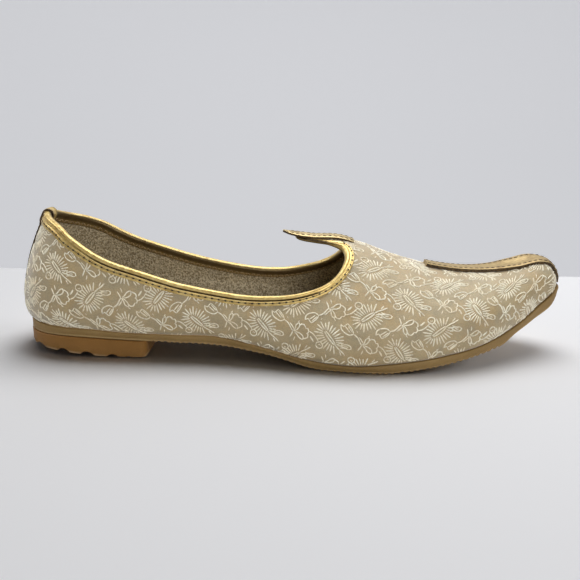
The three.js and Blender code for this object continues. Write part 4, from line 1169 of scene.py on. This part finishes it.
def below_ridge(u, distance):
    """Share up the side that lies a distance from the ridge, measured over the surface."""
    shares = np.linspace(1, 0, RIDGE_MARKS)
    walked = walked_along(last_point(u[:, None], shares, 1))
    return np.array([np.interp(d, w, shares) for d, w in zip(distance, walked)])


def strap_line(strap, u, share, rise):
    """Points along a strap at a share of its half width, and the ways out from them."""
    place = place_at(u) / LENGTH
    half, off, lift = (smooth_curve(strap["at"], strap[key])(place) for key in ("half", "off", "lift"))
    v = np.ones_like(u) if share == 0 else below_ridge(u, half * abs(share))
    way = -1 if share < 0 else 1
    return off_last(u, v, way, off + rise + lift * max(share, 0)), outward(u, v, way)


def make_strap(name, strap, gold, edge, node_name):
    """Strap with a slightly crowned top, gold all over but for the raw edges at both sides.
    The edges reach down by the backing: partly a second layer of leather, partly a dark sheet for the
    shade in the gap under the strap.
    """
    ends = travel_to(np.array([strap["at"][0], strap["at"][-1]]) * LENGTH)
    u = np.linspace(ends[0], ends[1], STRAP_SECTIONS)
    lower = [strap_line(strap, u, share, -strap["backing"])[0] for share in STRAP_ACROSS]
    upper_skin = [strap_line(strap, u, share, strap["thick"] + crown)[0]
                  for share, crown in zip(STRAP_ACROSS, STRAP_CROWN)]
    rings = np.stack(lower + upper_skin[::-1], 1)
    sides = rings.shape[1]
    faces = loft_faces(len(u), sides, (True, True))
    turn = len(STRAP_ACROSS) - 1
    slots = [1 if i % sides in (turn, sides - 1) else 0 for i in range(len(faces) - 2)] + [0, 0]
    strap_piece = piece_of(name, rings, faces, [gold, edge], slots, tones=np.zeros(rings.shape[0] * sides))
    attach(strap_piece, "root")
    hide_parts(node_name)


def cut_edge():
    """Raw edge of the leather, dark brown with pale fibres."""
    material, tree, shader, place = new_material("cut_edge", Roughness=0.7)
    fibres = ramp(tree, noise(tree, place, 900, 3), 0.35, 0.75)
    base = mix(tree, fibres, colour(50, 36, 20), colour(112, 88, 50))
    tree.links.new(base, shader.inputs["Base Color"])
    bumped(tree, shader, fibres, 0.3, 0.0003)
    return material


CUT_EDGE = cut_edge()
STRAP_GOLD = gold_foil("strap_gold", colour(184, 162, 116), colour(163, 139, 95), colour(122, 96, 58),
                       0.46, 0.55)
TONGUE_GOLD = gold_foil("tongue_gold", colour(200, 180, 132), colour(181, 158, 109), colour(134, 108, 66),
                        0.38, 0.6)
OLIVE_THREAD = sewing_thread("olive_thread", colour(92, 72, 38), colour(54, 40, 20))
make_strap("tongue_strap_gold", TONGUE_STRAP, TONGUE_GOLD, CUT_EDGE, "tongue_strap")
make_strap("toe_strap_gold", TOE_STRAP, STRAP_GOLD, CUT_EDGE, "toe_strap")
for label, strap, slot in (("tongue_strap_stitches", TONGUE_STRAP, "tongue_gold"),
                           ("toe_strap_stitches", TOE_STRAP, "toe_gold")):
    seam_u = travel_to(np.linspace(*strap["seam"]) * LENGTH)
    seams = [strap_line(strap, seam_u, share, strap["thick"]) for share in STRAP_SEAMS]
    sewn_rows(label, seams, STRAP_STITCH, OLIVE_THREAD)

# Back strip: a narrow strip of gold foil leather over the seam at the heel's back, folded over
# the collar and tucked inside.
BACK_STRIP = {
    "down": [57, 50, 40, 30, 20, 11, 7, 5, 2.5, .5, -.8, -1.65, -1.9, -1.65, -.8, .5, 3],
    "off": [.5, .45, .45, .45, .45, .45, .6, 1.4, 1.5, 1.5, 1.1, .3, -1, -2.3, -3.2, -3.7, -3.8],
    "half": 3.8,
    "thick": 0.6,
}
STRIP_STEPS = 6
STRIP_SEAMS = (-0.66, 0.66)
STRIP_SEAM_ROWS = slice(4, 38)  # part of the strip's path that the stitches run along
BACK_MARKS = 2001  # points of the line that a distance down the back is measured along
WIDTH_MARKS = 400  # places round the heel that are tried for a width


def heel_back_share(down):
    """Share up the heel's back that lies a distance down from the topline."""
    shares = np.linspace(0, 1, BACK_MARKS)
    walked = walked_along(last_point(0, shares, 1))
    edge = np.interp(TOPLINE["outer"][0], shares, walked)
    return np.interp(edge - down, walked, shares)


def heel_travel(v, half):
    """Place along the foot, close to the heel's back, where the last is this wide at v."""
    places = np.linspace(0, float(travel_to(HEEL_ROUND / 2)), WIDTH_MARKS)
    widths = last_point(places[None, :], v[:, None], 1)[..., 1]
    return np.array([np.interp(half, width, places) for width in widths])


def strip_skin(down, off, share):
    """Points down the heel's back at a share of the strip's half width, and the ways out."""
    v = heel_back_share(down)
    u = heel_travel(v, BACK_STRIP["half"] * abs(share)) if share else np.zeros_like(v)
    way = -1 if share < 0 else 1
    return off_last(u, v, way, off), outward(u, v, way)


def make_back_strip():
    """Strip along a path of distances down and off the last, and the path of its outer face."""
    marks = np.arange(len(BACK_STRIP["down"]))
    rows = np.linspace(0, marks[-1], marks[-1] * STRIP_STEPS + 1)
    path = np.stack([smooth_curve(marks, BACK_STRIP[key])(rows) for key in ("down", "off")], -1)
    along = unit(np.gradient(path, axis=0))
    outer_path = path + np.stack([along[:, 1], -along[:, 0]], -1) * BACK_STRIP["thick"]
    across = np.array([-1, -0.9, -0.45, 0, 0.45, 0.9, 1])
    inner_skin = [strip_skin(*path.T, share)[0] for share in across]
    outer_skin = [strip_skin(*outer_path.T, share)[0] for share in across[::-1]]
    rings = np.stack(inner_skin + outer_skin, 1)
    sides = rings.shape[1]
    faces = loft_faces(len(rows), sides, (True, True))
    slots = [1 if i % sides in (len(across) - 1, sides - 1) else 0 for i in range(len(faces))]
    shade = np.where(np.abs(across) > 0.8, 0.7, 0.2)
    return piece_of("back_strip_gold", rings, faces, [COLLAR_GOLD, CUT_EDGE], slots,
                    tones=np.tile(np.concatenate([shade, shade]), len(rows))), outer_path


back_strip, back_path = make_back_strip()
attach(back_strip, "root")
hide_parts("back_strip")
back_run = back_path[STRIP_SEAM_ROWS]
back_seams = [strip_skin(*back_run.T, share) for share in STRIP_SEAMS]
sewn_rows("back_strip_stitches", back_seams, STRAP_STITCH, OLIVE_THREAD)

# Table, backdrop, light and camera: a pale table that ends close behind the shoe, a grey wall
# farther back, a wide soft light overhead, and the camera at the side of the shoe, a little above it.
FAR_EDGE = [(-4, 0.13), (4, 0.212)]  # ends of the table's far edge, in metres
TABLE_REACH = 4
WALL_PLACE = 1.6
WALL_HEIGHTS = (-1.5, 2)
TABLE_TONE = colour(236, 236, 238)
WALL_TONE = colour(208, 209, 213)
WALL_GLOW = 0.88
ROOM_LIGHT = {"Color": (0.86, 0.88, 0.92, 1), "Strength": 0.04}


def make_backdrop(name, corners, tone, glow):
    """One flat face in one tone, which may glow a little by itself."""
    material = new_material(name, Roughness=0.7, Specular_IOR_Level=0.2, Base_Color=tone,
                            Emission_Color=tone, Emission_Strength=glow)[0]
    mesh = mesh_of(name, corners, faces=[(0, 1, 2, 3)])
    mesh.materials.append(material)
    backdrop = placed(name, mesh)


(left_x, left_y), (right_x, right_y) = FAR_EDGE
wall_low, wall_high = WALL_HEIGHTS
make_backdrop("table", [(left_x, -TABLE_REACH, 0), (right_x, -TABLE_REACH, 0),
                        (right_x, right_y, 0), (left_x, left_y, 0)], TABLE_TONE, 0)
make_backdrop("wall", [(left_x, WALL_PLACE, wall_low), (right_x, WALL_PLACE, wall_low),
                       (right_x, WALL_PLACE, wall_high), (left_x, WALL_PLACE, wall_high)],
              WALL_TONE, WALL_GLOW)

scene = bpy.context.scene
scene.view_settings.view_transform = "Standard"
world = bpy.data.worlds.new("studio")
scene.world = world
world.use_nodes = True
for key, value in ROOM_LIGHT.items():
    world.node_tree.nodes["Background"].inputs[key].default_value = value

# Soft lights, in metres. Three of them fall on the shoe alone, so that the shadow under it stays
# dark, and one on the table alone, where it softens the shadow beside the toe.
LIGHTS = {
    "overhead": {
        "place": (0.1, 0.26, 0.95), "aim": (0, 0, 0), "size": 0.7, "power": 8.2, "falls_on": "all",
    },
    "over_shoe": {
        "place": (0.1, 0.26, 0.95), "aim": (0, 0, 0), "size": 0.7, "power": 3.6, "falls_on": "shoe",
    },
    "front_right": {
        "place": (0.5, -1.3, 0.55), "aim": (0, 0, 0.04), "size": 0.6, "power": 8.4, "falls_on": "shoe",
    },
    "over_heel": {
        "place": (-0.85, 0.02, 0.7), "aim": (-0.12, 0, 0.05), "size": 0.5, "power": 3, "falls_on": "shoe",
    },
    "toe_side": {
        "place": (1.5, 0.2, 0.55), "aim": (0.14, 0, 0), "size": 0.5, "power": 8.5, "falls_on": "table",
    },
}
receivers = {name: bpy.data.collections.new("lit_" + name) for name in ("shoe", "table")}
for item in bpy.data.objects:
    if item.type == "MESH" and item.name != "wall":
        receivers["table" if item.name == "table" else "shoe"].objects.link(item)
for label, soft in LIGHTS.items():
    lamp = bpy.data.lights.new(label, "AREA")
    lamp.size, lamp.energy = soft["size"], soft["power"]
    light = placed(label, lamp)
    light.location = soft["place"]
    light.rotation_euler = (Vector(soft["aim"]) - light.location).to_track_quat("-Z", "Y").to_euler()
    if soft["falls_on"] in receivers:
        light.light_linking.receiver_collection = receivers[soft["falls_on"]]

# Camera round the point that it looks at, in mm. Its focal length is in widths of the picture.
CAMERA = {"azimuth_deg": 2, "elevation_deg": 15.4, "roll_deg": 0.55, "distance": 380, "focal": 669 / 580}
CAMERA_AIM = (149, 0, 32)
azimuth, elevation = math.radians(CAMERA["azimuth_deg"]), math.radians(CAMERA["elevation_deg"])
roll = math.radians(CAMERA["roll_deg"])
level = Vector((math.cos(azimuth), math.sin(azimuth), 0))
back = Vector((math.sin(azimuth) * math.cos(elevation), -math.cos(azimuth) * math.cos(elevation),
               math.sin(elevation)))
right = math.cos(roll) * level + math.sin(roll) * back.cross(level)
camera_data = bpy.data.cameras.new("camera")
camera_data.sensor_fit = "HORIZONTAL"
camera_data.lens = CAMERA["focal"] * camera_data.sensor_width
camera_data.clip_start, camera_data.clip_end = 0.01, 50
camera = placed("camera", camera_data)
camera_place = Vector(to_frame(CAMERA_AIM)[0]) + back * CAMERA["distance"] * 0.001
camera_turn = Matrix((right, back.cross(right), back)).transposed()
camera.matrix_world = Matrix.Translation(camera_place) @ camera_turn.to_4x4()
scene.camera = camera
